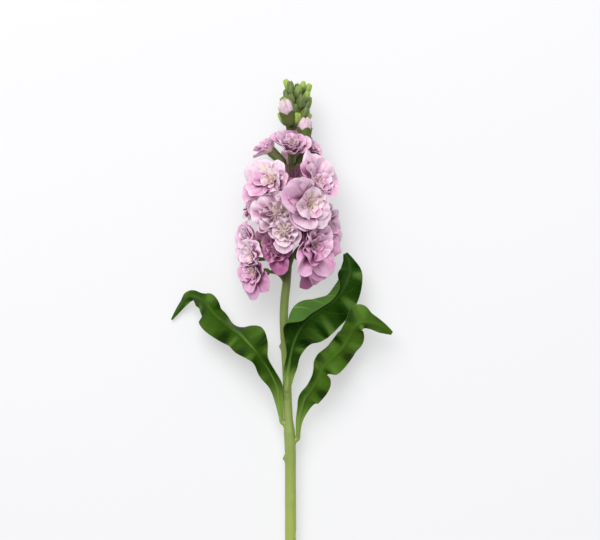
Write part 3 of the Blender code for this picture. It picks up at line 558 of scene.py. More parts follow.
# %% [markdown]
# ## Room for each bloom
#
# Blooms on a spike press against each other, against the stalk and against the table. Each bloom has a
# room of flat walls: the table, the stalk, and one between it and every neighbour. That one stands
# about halfway, nearer to the bloom that lies lower, and leans over it, so that the higher bloom's
# petals lie on top. A cloth simulation could do this too, but the walls give the same result each
# time in a moment.

# %% The walls
TABLE_ROOM, TABLE_SOFTNESS = 0.45, 0.5
STEM_ROOM, NEIGHBOUR_ROOM, SOFTNESS = 0.6, -1.4, 1.4
NEIGHBOUR_REACH = 1.35
WALL_LEAN, LEAN_PER_MM, MOST_LEAN = 0.35, 0.06, 1.3
HEIGHT_WEIGHT = 22
MOST_HIGHER = 13


def walls_of(flower):
    """Each wall as a point on it, the way inwards, the room kept to it and its softness."""
    stem_side = stem_at(flower.y) + stem_radius(flower.y) * flower.away
    walls = [(stem_side, flower.away, STEM_ROOM, SOFTNESS)]
    for other in BLOOMS + PINK_BUDS:
        between = other.middle - flower.middle
        distance = np.linalg.norm(between)
        if other is not flower and distance < NEIGHBOUR_REACH * (flower.radius + other.radius):
            higher = max(-MOST_HIGHER, min(MOST_HIGHER, flower.middle[2] - other.middle[2]))
            share = flower.radius / (flower.radius + other.radius * math.exp(-higher / HEIGHT_WEIGHT))
            over = math.copysign(min(WALL_LEAN + LEAN_PER_MM * abs(higher), MOST_LEAN), higher)
            inward = unit(over * unit(flower.facing + other.facing) - between / distance)
            walls.append((flower.middle + share * between, inward, NEIGHBOUR_ROOM, SOFTNESS))
    return walls + [(np.zeros(3), UP, TABLE_ROOM, TABLE_SOFTNESS)]


def pressed_back(points, walls):
    """Points that cross a wall are pressed back from it, the last wall being the firmest."""
    for corner, inward, room, softness in walls:
        depth = (points - corner) @ inward - room
        kept = softness * np.logaddexp(0, depth / softness)
        points = points + (kept - depth)[..., None] * inward
    return points


print("walls of each bloom:", [len(walls_of(bloom)) for bloom in BLOOMS])

# %% [markdown]
# ## How far each petal opens
#
# A petal that meets a neighbour stays more upright. So each one is tried at ten steps from open to
# shut, and the first step at which it stays inside the walls is taken. Petals in the camera's sight
# stay half open at least, and an inner petal opens less than the ones behind it.

# %% Opening the petals
SPREAD = 1.06
OPENNESS = (1, 0.92, 0.84, 0.76, 0.68, 0.6, 0.52, 0.44, 0.36, 0.28)
LEAST_OPEN_IN_SIGHT = 0.62
INNER_SHARE = 0.9
LEAST_SWEEP = 0.08
NEAR_TURN = 0.9
# By how much each petal differs: two angles in degrees and one in radians are added, the length and
# the width are multiplied, and the phase sets its waves and folds.
DRAWS = {"claw": (-8, 8), "rim": (-20, 12), "turn": (-0.18, 0.18)}
DRAWS |= {"length": (0.88, 1.08), "width": (0.88, 1.12), "phase": (0, 40)}


def petal_facts(flower, ring, turn, openness, draw):
    """What the tree needs to know about one petal."""
    size = flower.radius * SPREAD * (1 + flower.longer @ flower.way(turn))
    claw = math.radians(ring["claw"] * (0.4 + 0.6 * openness) + draw["claw"])
    rim = ring["claw"] + (ring["rim"] - ring["claw"]) * openness + draw["rim"]
    return {name: ring[name] for name in COPIED_FACTS} | dict(
        turn=turn + draw["turn"],
        claw=claw,
        sweep=max(math.radians(rim) - claw, LEAST_SWEEP),
        length=size * ring["length"] * (0.6 + 0.4 * openness) * draw["length"],
        half_width=size * ring["width"] * draw["width"],
        pack=math.pi / ring["count"] * 1.18 * (0.85 + 0.15 * openness),
        phase=draw["phase"],
    )


# %% Does a petal fit its room
def opens_freely(flower, facts, walls):
    """True if the petal's middle and edges stay inside the walls."""
    claw, sweep, length = facts["claw"], facts["sweep"], facts["length"]
    angle = claw + sweep * np.array((0.45, 0.72, 1))[:, None]
    out = facts["foot_out"] + length * (math.cos(claw) - np.cos(angle)) / sweep
    rise = facts["foot_rise"] + length * (np.sin(angle) - math.sin(claw)) / sweep
    half = np.minimum(facts["half_width"] / out, facts["pack"])
    turned = facts["turn"] + np.array((-0.75, 0, 0.75)) * half
    points = np.stack([out * np.cos(turned), out * np.sin(turned), rise + 0 * turned], axis=-1)
    points = flower.placed(points)
    return all(((points - corner) @ inward).min() > room for corner, inward, room, _ in walls)


# %% Every petal of every bloom
def petals_of(flower, seed):
    """A row of facts for each petal, from the outer ring inwards."""
    draws, walls, rows = random.Random(seed), walls_of(flower), []
    outside, in_sight = [], flower.away[2] > -0.5
    for number, ring in enumerate(flower.rings):
        inside = []
        for k in range(ring["count"]):
            turn = flower.spin + 2 * math.pi / ring["count"] * (k + 0.5 * number)
            draw = {name: draws.uniform(*ends) for name, ends in DRAWS.items()}
            way = flower.way(turn)
            # Petals that point towards the cut end get a deeper tone: painted shade on the side away
            # from the light.
            tone = flower.tone * 0.7 + draws.uniform(-0.5, 0.5) - 0.3 * way[1] + flower.longer @ way
            near = [o for t, o in outside if abs(math.remainder(t - turn, 2 * math.pi)) < NEAR_TURN]
            most = INNER_SHARE * min(near, default=1) if outside else 1
            for openness in OPENNESS:
                facts = petal_facts(flower, ring, turn, min(openness, most), draw)
                if opens_freely(flower, facts, walls) or (in_sight and openness < LEAST_OPEN_IN_SIGHT):
                    break
            inside.append((turn, min(openness, most)))
            rows.append(facts | dict(tone=tone, heart=number / (len(RUFFLED) - 1)))
        outside = inside
    return rows


PETAL_ROWS = [petals_of(bloom, number) for number, bloom in enumerate(BLOOMS)]
print(len(PETAL_ROWS), "blooms opened")

# %% [markdown]
# ## Growing the blooms
#
# The tree gives the middle of each petal. Its points are set on the bloom and pressed back from the
# walls. A mark keeps how deep a point lies in the head, where the finish paints a darker shade: petals
# next to the stalk lie in the shade of the others.
# In sight, petals are more crumpled than on the back, where the table has smoothed them.

# %% The middle of every petal
HEAD_PLACES, HEAD_RADII = (260, 300, 335, 352, 372), (30, 34, 32, 22, 12)
CRUMPLED, SMOOTHED = 0.8, 0.35
CROWN = 345


def buried(places):
    """How deep a place lies in the head, for painted shade: 0 at its outside, 1 next to the stalk."""
    x, _, z = stem_at(places[..., 1])
    away = np.hypot(places[..., 0] - x, places[..., 2] - z)
    return 1 - np.clip(away / np.interp(places[..., 1], HEAD_PLACES, HEAD_RADII), 0, 1)


# %% Petals set on their bloom
def petal_grids(flower, rows, walls, crumple):
    """Grows the petals of a flower: the grid of each one's middle, and the marks at its points."""
    marks = {name: [row[name] for row in rows] for name in rows[0]}
    inputs = {"Across": PETAL_ACROSS, "Along": PETAL_ALONG, "Crumple": crumple, "Finish": PETALS}
    mesh = PETAL_TREE.grow([(0, 0, 0)] * len(rows), marks, inputs)
    shape = (len(rows), PETAL_ACROSS, PETAL_ALONG)
    local = np.zeros(len(mesh.vertices) * 3, np.float32)
    mesh.vertices.foreach_get("co", local)
    kept = {}
    for name in ("across", "along", "heart", "tone"):
        values = np.zeros(len(mesh.vertices), np.float32)
        mesh.attributes[name].data.foreach_get("value", values)
        kept[name] = values.reshape(shape)
    bpy.data.meshes.remove(mesh)
    grids = pressed_back(flower.placed(local.reshape(*shape, 3).astype(float)), walls)
    return grids, kept | {"buried": buried(grids)}


grown_blooms = []
for bloom, rows in zip(BLOOMS, PETAL_ROWS):
    crumple = CRUMPLED if bloom.away[2] > 0.2 and bloom.y < CROWN else SMOOTHED
    grown_blooms.append(petal_grids(bloom, rows, walls_of(bloom), crumple))
print(sum(len(grids) for grids, _ in grown_blooms), "petals grown")

# %% [markdown]
# ## How closely other petals shade each petal
#
# Light that reaches a petal through a narrow gap has met other petals first and is magenta. How narrow
# the gap is can be measured: short rays leave each point, straight up and aslant, and their share that
# meets another petal is kept as a mark, from which the finish paints a darker magenta shade. It is
# done for every second point, to save time, and for each face of the petal on its own.

# %% Faces of grids
def grid_faces(across, along):
    """The faces of a grid of points, by the points' numbers."""
    number = np.arange(across * along).reshape(across, along)
    corners = [number[:-1, :-1], number[:-1, 1:], number[1:, 1:], number[1:, :-1]]
    return np.stack(corners, axis=-1).reshape(-1, 4)


def repeated(faces, count, size):
    """The same faces for each of several shapes with as many points."""
    return (faces[None] + size * np.arange(count)[:, None, None]).reshape(-1, 4)


# %% All petals as one body
RAY_LENGTH = 11
RAY_START = 0.35
RAY_WAYS = [(0, 0, 1)]
for aside, ahead, turns in ((0.62, 0.78, (0, 90, 180, 270)), (0.9, 0.44, (45, 135, 225, 315))):
    RAY_WAYS += [(aside * math.cos(a), aside * math.sin(a), ahead) for a in np.radians(turns)]
every_grid = np.concatenate([grids for grids, _ in grown_blooms])
petal_faces = grid_faces(PETAL_ACROSS, PETAL_ALONG)
every_face = repeated(petal_faces, len(every_grid), PETAL_ACROSS * PETAL_ALONG)
PETAL_BODY = BVHTree.FromPolygons(every_grid.reshape(-1, 3).tolist(), every_face.tolist())
print(len(RAY_WAYS), "rays from each point, at", len(every_face), "faces")

# %% Rays from each point
def looks_of(grids):
    """The direction in which the upper face of a sheet looks, at each point."""
    return unit(np.cross(np.gradient(grids, axis=2), np.gradient(grids, axis=1)))


def filled_in(values):
    """Numbers at every second point of a grid, and halfway between them at the others."""
    for axis in (1, 2):
        values = np.moveaxis(values, axis, 0)
        full = np.zeros((2 * len(values) - 1, *values.shape[1:]))
        full[0::2] = values
        full[1::2] = (values[:-1] + values[1:]) / 2
        values = np.moveaxis(full, 0, axis)
    return values


def enclosed(grids, side):
    """The share of short rays from each petal point, on one side, that meet another petal: painted
    shade.
    """
    looks = side * looks_of(grids)[:, ::2, ::2]
    starts = grids[:, ::2, ::2] + RAY_START * looks
    aside = unit(np.cross(looks, UP + 0.01))
    third = np.cross(looks, aside)
    met = np.zeros(looks.shape[:3])
    for a, b, c in RAY_WAYS:
        ways = (a * aside + b * third + c * looks).reshape(-1, 3)
        rays = zip(starts.reshape(-1, 3).tolist(), ways.tolist())
        hits = [PETAL_BODY.ray_cast(start, way, RAY_LENGTH)[3] is not None for start, way in rays]
        met += np.reshape(hits, met.shape)
    return filled_in(met / len(RAY_WAYS))


# %% [markdown]
# ## Sheets with a thickness
#
# A petal is a third of a millimetre thick. The grid of its middle gets an upper and a lower face
# and a rim between them, so that the mesh is closed, and a mark says which face is the underside. The
# Solidify modifier does the same, but it gives both faces the same numbers.

# %% Petals with their thickness
def closed_sheets(grids, thickness):
    """Points, faces and a mark for the underside, from grids of (sheet, across, along, place)."""
    count, across, along, _ = grids.shape
    half = looks_of(grids) * np.broadcast_to(thickness, grids.shape[:3])[..., None] / 2
    points = np.stack([grids + half, grids - half], axis=1)
    size = across * along
    number = np.arange(size).reshape(across, along)
    upper = grid_faces(across, along)
    edge = np.concatenate([number[0, :-1], number[:-1, -1], number[-1, :0:-1], number[:0:-1, 0]])
    following = np.roll(edge, -1)
    rim = np.stack([following, edge, edge + size, following + size], axis=-1)
    faces = repeated(np.concatenate([upper, upper[:, ::-1] + size, rim]), count, 2 * size)
    return points.reshape(-1, 3), faces, np.tile(np.repeat((0, 1), size), count)


# %% Sheets as pieces
def show_sheets(name, grids, thickness, finish, slot, node, marks, **face_marks):
    """Shows sheets as one piece. The marks are the same on both faces of a sheet."""
    points, faces, under = closed_sheets(grids, thickness)
    marks = {mark: np.reshape(values, (len(grids), 1, -1)) for mark, values in marks.items()}
    marks = {mark: np.repeat(values, 2, axis=1) for mark, values in marks.items()}
    mesh = make_mesh(name, points, faces, under=under, **marks, **face_marks)
    show(name, mesh, finish, slot, node)


def show_petals(name, grids, marks, thickness, finish, slot, node):
    """Shows petals as one piece: thickest at the foot, each face with the share of its rays that meet
    petals, for painted shade.
    """
    both = np.stack([enclosed(grids, side) for side in (1, -1)], axis=1)
    thickness = thickness * (1.5 - 0.9 * marks["along"])
    show_sheets(name, grids, thickness, finish, slot, node, marks, enclosed=both)


# %% Show the petals
PETAL_THICKNESS = 0.32
for bloom, (grids, marks) in zip(BLOOMS, grown_blooms):
    name = bloom.name
    show_petals("petals_" + name, grids, marks, PETAL_THICKNESS, PETALS, "petals", "bloom_" + name)


# %% [markdown]
# ## Stalk
#
# The stalk is a long tube whose radius is a number for each place along it and each angle round it, so
# ridges and leaf scars are only added to that number. A scar is a small step that sticks out, with
# a hollow above it where the leaf sat. The cut end is slanted and shows the paler pith.

# %% Angles and directions round a line
def around(sides):
    """Even angles round a full turn."""
    return 2 * math.pi * np.arange(sides) / sides


def frames_along(line):
    """The sideways and upward directions at each point of a line."""
    ahead = unit(np.gradient(line, axis=0))
    side = unit(np.cross(ahead[0], UP if abs(ahead[0] @ UP) < 0.9 else np.array((1, 0, 0))))
    sides = []
    for direction in ahead:
        side = unit(side - direction * (side @ direction))
        sides.append(side)
    sides = np.array(sides)
    return sides, np.cross(sides, ahead)


# %% A closed tube
def tube(line, radii, sides):
    """A closed tube: its points ring by ring with one point at each end, and its faces."""
    side, top = frames_along(line)
    angles = around(sides)[None, :, None]
    radii = np.broadcast_to(np.asarray(radii, float).reshape(len(line), -1), (len(line), sides))
    rings = side[:, None] * np.cos(angles) + top[:, None] * np.sin(angles)
    rings = line[:, None] + rings * radii[..., None]
    points = np.concatenate([rings.reshape(-1, 3), line[:1], line[-1:]])
    last = len(line) * sides
    faces = []
    for j in range(sides):
        after = (j + 1) % sides
        faces.append((last, j, after))
        faces.append((last + 1, last - sides + after, last - sides + j))
        for k in range(0, last - sides, sides):
            faces.append((k + j, k + sides + j, k + sides + after, k + after))
    return points, faces


def joined(parts):
    """Several point and face lists as one."""
    points, faces, start = [], [], 0
    for part_points, part_faces in parts:
        points.append(part_points)
        faces.extend(tuple(start + corner for corner in face) for face in part_faces)
        start += len(part_points)
    return np.concatenate(points), faces


# %% Stalk with its ridges, scars and slanted cut
STALK_STEPS, STALK_SIDES = 260, 32
CUT_SLANT, CUT_LENGTH = math.tan(math.radians(30)), 16
# Each scar's place along the stalk, the angle round it and how far it stands out.
SCARS = (
    (38, 20, 0.9),
    (71, 120, 0.8),
    (99, 355, 1),
    (109, 178, 1),
    (126, 60, 0.9),
    (153, 175, 1.3),
    (226, 178, 0.8),
)


def bell(values, middle, width):
    """1 where a value is the middle one, and smoothly less away from it."""
    return np.exp(-(((values - middle) / width) ** 2))


def stalk():
    """The main stalk: points, faces, the share of its length, and a mark for its pith."""
    line = smooth_through(STEM_LINE, np.linspace(0, 1, STALK_STEPS))
    angles = around(STALK_SIDES)
    y = line[:, 1][:, None]
    ridges = 0.022 * np.cos(5 * angles + 0.6) + 0.012 * np.cos(9 * angles + y / 60)
    radii = stem_radius(y) * (1 + ridges + 0.008 * np.cos(14 * angles - y / 40))
    for place, turn, height in SCARS:
        apart = np.remainder(angles - math.radians(turn) + math.pi, 2 * math.pi) - math.pi
        radii = radii + (height + 0.3) * bell(y, place, 1.5) * bell(apart, 0, 0.42)
        radii = radii - 0.6 * bell(y, place + 2.6, 1.1) * bell(apart, 0, 0.3)
        radii = radii + 0.12 * bell(y, place, 4)
    points, faces = tube(line, radii, STALK_SIDES)
    shares = points[:, 1] / STEM_LENGTH
    pith = np.zeros(len(points))
    pith[-2] = 1
    end = np.clip(1 - points[:, 1] / CUT_LENGTH, 0, 1) ** 2
    points[:, 1] += (0.5 + CUT_SLANT * points[:, 2]) * end
    points[:, 2] = np.maximum(points[:, 2], 0.02)
    return points, faces, {"along": shares, "pith": pith}


# %% Stalk green
def stalk_finish():
    """Light yellow-green with fine lengthwise streaks; inside the head olive and then purple-brown,
    darkened there by painted shade.
    """
    paint = Finish("stalk green", 0.15)
    along, cloud = paint.mark("along"), paint.noise(0.09)
    streak, fine = paint.noise(1, 900, 35), paint.noise(2, 900, 60)
    purple = ramp(along + cloud * 0.01, 0.8, 0.835) * (1 - ramp(along, 0.865, 0.885))
    green = paint.layered(
        (126, 148, 66),
        (0.5 + cloud * 0.35 + streak * 0.2, (158, 176, 92)),
        (1 - ramp(along, 0.25, 0.45), (166, 182, 88)),
        (ramp(streak, 0.35, 1) * 0.5, (104, 128, 62)),
        (ramp(along, 0.46, 0.6) * 0.45, (84, 108, 44)),
        (ramp(along, 0.66, 0.82) * 0.85, (104, 116, 40)),
        # Painted shade: darker green where the stalk runs in under the head.
        (ramp(along, 0.655, 0.7) * 0.7, (58, 66, 34)),
        (purple * 0.95, (88, 40, 54)),
        (paint.mark("pith"), (214, 222, 180)),
    )
    return paint.done(green, 0.5 + fine * 0.08, fine + streak, 0.35)


STALK = stalk_finish()
show_shape("stalk", stalk(), STALK)

# %% [markdown]
# ## Flower stalks
#
# Each bloom has a thin stalk that leaves the main one at a slant and bends outwards into the base of
# its green cup. These stalks are all different, so they are tubes along curves. They have the
# grey-green finish of the cups, with a purple flush.

# %% Stalks of the blooms and buds
CUP_LENGTH = 9
STALK_RISE = 57
FLOWER_STALK_STEPS, FLOWER_STALK_SIDES = 14, 10


def stalk_line(flower, steps):
    """The stalk's middle line, from inside the main stalk up into the cup's base."""
    start, end = flower.start, flower.throat - (CUP_LENGTH * flower.cup - 0.5) * flower.facing
    bend = 0.4 * np.linalg.norm(end - start)
    second, third = start + bend * leaning(flower.away, STALK_RISE), end - bend * flower.facing
    s = np.linspace(0, 1, steps)[:, None]
    lower = (1 - s) ** 3 * start + 3 * s * (1 - s) ** 2 * second
    return lower + 3 * s**2 * (1 - s) * third + s**3 * end


def flower_stalks():
    """Every flower stalk, a little thicker where it leaves the main one."""
    shares = np.linspace(0, 1, FLOWER_STALK_STEPS)
    radii = 1.1 + 0.5 * bell(shares, 0, 0.18)
    lines = [stalk_line(flower, FLOWER_STALK_STEPS) for flower in BLOOMS + PINK_BUDS]
    points, faces = joined([tube(line, radii, FLOWER_STALK_SIDES) for line in lines])
    along = np.concatenate([np.repeat(shares, FLOWER_STALK_SIDES), (0, 1)])
    return points, faces, {"along": 0.6 * np.tile(along, len(lines))}


# %% Green of the cups and flower stalks
def cup_finish():
    """Grey-green, paler at the base, with a purple flush."""
    paint = Finish("green cups", 0.1)
    along, cloud, grain = paint.mark("along"), paint.noise(0.25), paint.noise(1.4)
    green = paint.layered(
        (62, 80, 26),
        (0.5 + cloud * 0.5, (104, 120, 44)),
        (1 - ramp(along, 0, 0.5), (100, 116, 52)),
        (ramp(cloud + along * 0.5, 0.35, 1.1) * 0.5, (92, 56, 70)),
    )
    return paint.done(green, 0.58 + grain * 0.06, grain, 0.3)


CUPS = cup_finish()
show_shape("flower_stalks", flower_stalks(), CUPS)

# %% [markdown]
# ## Green cups
#
# Four sepals make a cup that holds the feet of the petals. The cups are all alike, so one cup is made
# and a second tree puts a copy on each point of a table, turned and sized by the table's numbers.

# %% A tree that sets one shape on each point
SETTING = Grower("set on points", Piece="Object")
source, kind = {"Object": SETTING.given["Piece"]}, {"transform_space": "ORIGINAL"}
piece = SETTING.node("GeometryNodeObjectInfo", kind, source, output="Geometry")
turned, size = SETTING.mark("turned", "FLOAT_VECTOR"), SETTING.mark("size")
SETTING.end(SETTING.copies(piece, Rotation=turned, Scale=size))
print("setting tree:", len(SETTING.graph.nodes), "nodes")

# %% A shape set at many places
def set_on(name, shape, places, facings, sizes, finish, spins, **marks):
    """Shows one shape, which points along z, set at each place and facing its own way."""
    points, faces, shape_marks = shape
    mesh = make_mesh("original", points + ORIGIN, faces, **shape_marks)
    original = bpy.data.objects.new("original", mesh)
    bpy.context.scene.collection.objects.link(original)
    turns = []
    for facing, spin in zip(facings, spins):
        turn = Vector(facing).to_track_quat("Z", "Y").to_matrix() @ Matrix.Rotation(spin, 3, "Z")
        turns.append(tuple(turn.to_euler()))
    marks = dict(turned=turns, size=sizes) | marks
    places = (np.array(places) - ORIGIN) * MM
    mesh = SETTING.grow(places, marks, {"Piece": original, "Finish": finish})
    bpy.data.objects.remove(original)
    show(name, mesh, finish, "stem", "stem")


# %% Cups of the blooms
CUP_SIDES = 24
CUP_SINKS = 0.2


def ramped(values, low, high):
    """0 below low and 1 above high, with a smooth change between them."""
    share = np.clip((values - low) / (high - low), 0, 1)
    return share * share * (3 - 2 * share)


def upright(heights):
    """A line of points along z."""
    return np.stack([0 * heights, 0 * heights, heights], axis=1)


def cup(length):
    """Four sepals round the feet of the petals, closed at the bottom and a little inside the rim."""
    places = np.array((0, 0.06, 0.2, 0.45, 0.7, 0.88, 1, 1, 0.9, 0.75))
    radii = np.array((0.9, 1.5, 2.35, 2.6, 2.65, 2.8, 2.95, 2.6, 2.3, 1.9))
    lobe = np.abs(np.cos(2 * around(CUP_SIDES)))
    shape = radii[:, None] * (1 + (0.14 * lobe - 0.1) * ramped(places, 0.1, 0.5)[:, None])
    points, faces = tube(upright(length * (places - 1)), shape, CUP_SIDES)
    along = np.concatenate([np.repeat(places, CUP_SIDES), (0, 0.5)])
    tips = np.concatenate([np.tile(lobe**0.7, len(places)), (0, 0)])
    points[:, 2] += ramped(along, 0.8, 1) * (2 * tips - 0.6)
    return points, faces, {"along": 0.5 + 0.5 * along}


def set_cups(name, flowers, length, rises, sizes, spins):
    """A cup for each flower, so far above its throat."""
    places = [flower.throat + rise * flower.facing for flower, rise in zip(flowers, rises)]
    set_on(name, cup(length), places, [flower.facing for flower in flowers], sizes, CUPS, spins)


sizes, spins = [bloom.cup for bloom in BLOOMS], [2.4 * number for number in range(len(BLOOMS))]
set_cups("cups", BLOOMS, CUP_LENGTH, [-CUP_SINKS] * len(BLOOMS), sizes, spins)

# %% [markdown]
# ## Green buds
#
# The tip is a crowd of green buds on a spiral, each turned from the last by the golden angle, as most
# plants grow them. They get smaller and stand more upright towards the tip. Each is four sepals with
# grooves between them, whose tips stand up a little. The same tree as for the cups sets them.

# %% Buds of the tip
GREEN_BUDS, BUD_SIDES = 28, 16
GOLDEN_TURN = 137.5


def green_bud():
    """A closed bud of four sepals on a short stalk, one unit in radius."""
    places = np.array((-1.7, -1, -0.35, 0, 0.3, 0.7, 1.2, 1.7, 2.1, 2.4, 2.6, 2.68))
    radii = np.array((0.34, 0.34, 0.4, 0.62, 0.86, 0.98, 1, 0.94, 0.8, 0.66, 0.5, 0.3))
    angles = 2 * around(BUD_SIDES)
    groove = 1 - 0.3 * np.abs(np.sin(angles)) ** 4 * ramped(places, 0, 0.6)[:, None]
    points, faces = tube(upright(places), radii[:, None] * groove, BUD_SIDES)
    tips = np.cos(angles) ** 2 * ramped(places, 1.5, 2.6)[:, None]
    points[:-2, 2] += 0.45 * tips.reshape(-1)
    along = np.concatenate([np.repeat(ramped(places, -0.3, 2.2), BUD_SIDES), (0, 1)])
    return points, faces, {"along": along}


# %% Bud green
def bud_finish():
    """Grey-green buds, some of them with bright yellow-green tips."""
    paint = Finish("green buds", 0.15)
    along, tone = map(paint.mark, ("along", "tone"))
    cloud, grain = paint.noise(0.3), paint.noise(1.6)
    green = paint.layered(
        (90, 108, 56),
        (0.5 + cloud * 0.5, (132, 148, 86)),
        (ramp(along * 0.6 + tone * 0.5 + cloud * 0.1, 0.45, 0.95) * 0.85, (176, 204, 92)),
    )
    return paint.done(green, 0.52 + grain * 0.06, grain, 0.3)


BUDS = bud_finish()

# %% Buds on their spiral
draws = random.Random(5)
places, facings, sizes, tones = [], [], [], []
for number in range(GREEN_BUDS):
    share = number / (GREEN_BUDS - 1)
    radius = np.interp(share, (0, 1), (2.95, 2.3)) * draws.uniform(0.86, 1.12)
    away = outward(number * GOLDEN_TURN + 75)
    reach = np.interp(share, (0, 0.5, 0.85, 1), (9.8, 9.6, 9, 8.2))
    facings.append(leaning(away, np.interp(share, (0, 1), (44, 70)) + draws.uniform(-10, 10)))
    places.append(stem_at(np.interp(share, (0, 1), (369.5, 392))) + (reach - 1.6 * radius) * away)
    sizes.append(radius)
    tones.append(draws.uniform(-1, 1))
set_on("green_buds", green_bud(), places, facings, sizes, BUDS, [0] * GREEN_BUDS, tone=tones)

# %% [markdown]
# ## Pink buds
#
# Three buds below the tip already show their furled petals. These come from the petal tree too, with a
# bend the other way, so that they close over the top. Their cups hold them tightly, so they are the
# blooms' cup made half as long and as wide as the petals.

# %% Furled petals and their cups
BUD_CUP_RIM = 3.35
BUD_PETAL_THICKNESS = 0.35
PINK = petal_finish("pink buds", (244, 226, 228), (230, 196, 210), (206, 150, 184))
for number, bud in enumerate(PINK_BUDS):
    draws, rows = random.Random(40 + number), []
    for ring, (count, share) in enumerate(((4, 1), (4, 0.86))):
        for k in range(count):
            facts = dict(turn=math.pi / 2 * (k + 0.5 * ring), claw=0.95 * share, sweep=-2.1 * share)
            facts |= dict(length=1.95 * bud.radius, half_width=0.95 * bud.radius, foot_out=1.9 * share)
            facts |= dict(foot_rise=0.3, cup=0, tilt=0.1, wave=0.02, pack=1.25, pleat=0.3, heart=0)
            rows.append(facts | dict(phase=draws.uniform(0, 40), tone=draws.uniform(-0.5, 0.5)))
    grids, marks = petal_grids(bud, rows, [], 0.3)
    name = "bud_" + bud.name
    show_petals("petals_" + name, grids, marks, BUD_PETAL_THICKNESS, PINK, "bud", name)
rises, sizes = zip(*((0.3 * bud.radius, bud.radius / BUD_CUP_RIM) for bud in PINK_BUDS))
set_cups("bud_cups", PINK_BUDS, 0.5 * CUP_LENGTH, rises, sizes, (0.6, 0.4, 0.2))

# %% [markdown]
# ## Leaves
#
# A leaf is a sheet along its midrib. Each row of its table is a station on the rib: where it is, then
# for the left and the right half of the blade how wide it is, the angle at which it leaves the rib
# and how far it curls on the way to its margin. The curl of the centre leaf comes all at once, so that
# its left half rolls over and shows the pale underside.

# %% The leaves' stations
# The place on the rib, then width, angle and curl of the left half, and those of the right half.
LEFT = (
    (-4.1, 177.5, 17.6, 1.3, 0, 0, 1.3, 0, 0),
    (-5.6, 189.5, 20, 2.8, 10, 10, 2.6, 15, 10),
    (-7.2, 200, 22, 5.2, 20, 10, 4.8, 35, 20),
    (-12, 210.5, 24, 7.8, 15, 15, 6.5, 55, 30),
    (-17.2, 218.3, 26, 8.6, 40, 20, 8.5, 55, 25),
    (-21.4, 223.5, 27, 9.5, 40, 10, 11.5, 30, -20),
    (-26.6, 229.3, 28, 10.5, 10, -20, 13.5, -8, -15),
    (-31.2, 234.2, 29, 11, -10, -20, 12.5, -62, -20),
    (-39, 239.8, 28.5, 12.5, -15, -20, 10.5, -75, 0),
    (-47.5, 246.9, 26.5, 13.5, -20, -15, 6.2, -35, 10),
    (-52.8, 253.4, 23, 11.5, -35, -5, 7.5, -15, 15),
    (-58.5, 257, 18, 8, -45, 0, 4.4, -20, 10),
    (-64.5, 258.2, 12.5, 5, -30, 0, 4.2, -30, 0),
    (-69.6, 252.5, 7, 2.6, -25, 0, 2.4, -35, 0),
    (-76.3, 243, 2.2, 0.5, 0, 0, 0.5, 0, 0),
)
CENTRE = (
    (-0.6, 199, 22.7, 2.6, -10, -20, 2.6, -10, -20),
    (-0.2, 206.5, 24.3, 2.8, 0, 0, 4.2, -5, -10),
    (0.4, 212.5, 25.4, 3, 15, 10, 5.8, -12, -15),
    (1.6, 221, 26.6, 3.6, 40, 20, 7, -12, -20),
    (3.9, 229.3, 28.4, 7.4, 30, 10, 10.5, -12, -15),
    (7.8, 237.2, 30.2, 16.5, 22, 60, 15.5, -4, -10),
    (13.5, 244.2, 31.6, 25.5, 20, 165, 17.6, -3, -6),
    (21, 249.6, 31.2, 17, 16, 172, 17, -12, 6),
    (28.4, 254.6, 30.4, 11, 12, 165, 15, -14, 15),
    (34.3, 260.6, 29, 11.5, 8, 140, 13, -12, -10),
    (38.3, 267.6, 27.6, 9.5, 4, 70, 10.8, -12, -20),
    (40.3, 274.6, 26.6, 7, 0, 10, 8, -10, -20),
    (39.6, 281, 26.2, 4.6, 0, 0, 3.6, -5, -10),
    (37, 286.2, 26, 1.4, 0, 0, 1.6, 0, 0),
)
RIGHT = (
    (6.4, 166.5, 16.2, 1.2, 0, 0, 1.2, 0, 0),
    (7.1, 177, 18.6, 2, 20, 10, 2.4, 10, 0),
    (8.6, 185.5, 21.5, 3.2, 35, 20, 5.4, -10, -20),
    (10.8, 192.5, 23.5, 5, 35, 20, 10.5, -22, -30),
    (15.6, 198.8, 23.5, 5.8, 40, 30, 10.2, -5, -30),
    (19.5, 205.3, 21.8, 6.6, 40, 30, 9.8, 20, 20),
    (21.8, 210.2, 21.4, 7.2, 25, 40, 8.4, 52, 25),
    (25.2, 214.8, 22.4, 8.4, -5, -20, 10.4, 30, 5),
    (30, 219.6, 24.2, 9.2, -30, -20, 10.2, -4, -20),
    (35.8, 225.5, 26.2, 8.6, -18, 30, 11, -25, -45),
    (39.6, 232, 28.6, 8, 0, 20, 10.4, -15, -25),
    (42.6, 238, 32.5, 7.6, 20, 20, 6.5, -30, -15),
    (47.9, 241.6, 33.6, 12.4, -8, -10, 4.5, -25, -5),
    (54.2, 241.2, 31.5, 6.6, -20, -15, 4.3, -20, -5),
    (61, 238.4, 26.5, 3.4, -15, -10, 4.2, -15, -10),
    (67.4, 234.4, 21, 1.2, 0, 0, 1.2, 0, 0),
)
# How high the rib stands from foot to tip, where its pale colour fades, how bright the blade is, the
# size of the foot, and between which shares of its left half the centre leaf rolls.
LEAVES = {
    "leaf_left": dict(stations=LEFT, rib=(3, 1.2, 0.3), fades=(0.42, 0.6), bright=0.45, foot=1),
    "leaf_centre": dict(stations=CENTRE, rib=(1.2, 1.2, 0.35), fades=(0.12, 0.5), bright=0, foot=1.35),
    "leaf_right": dict(stations=RIGHT, rib=(3.2, 1.2, 0.3), fades=(0.1, 0.35), bright=1, foot=1),
}
LEAVES["leaf_centre"]["roll"] = (0.45, 0.7)
print({name: len(leaf["stations"]) for name, leaf in LEAVES.items()}, "stations")
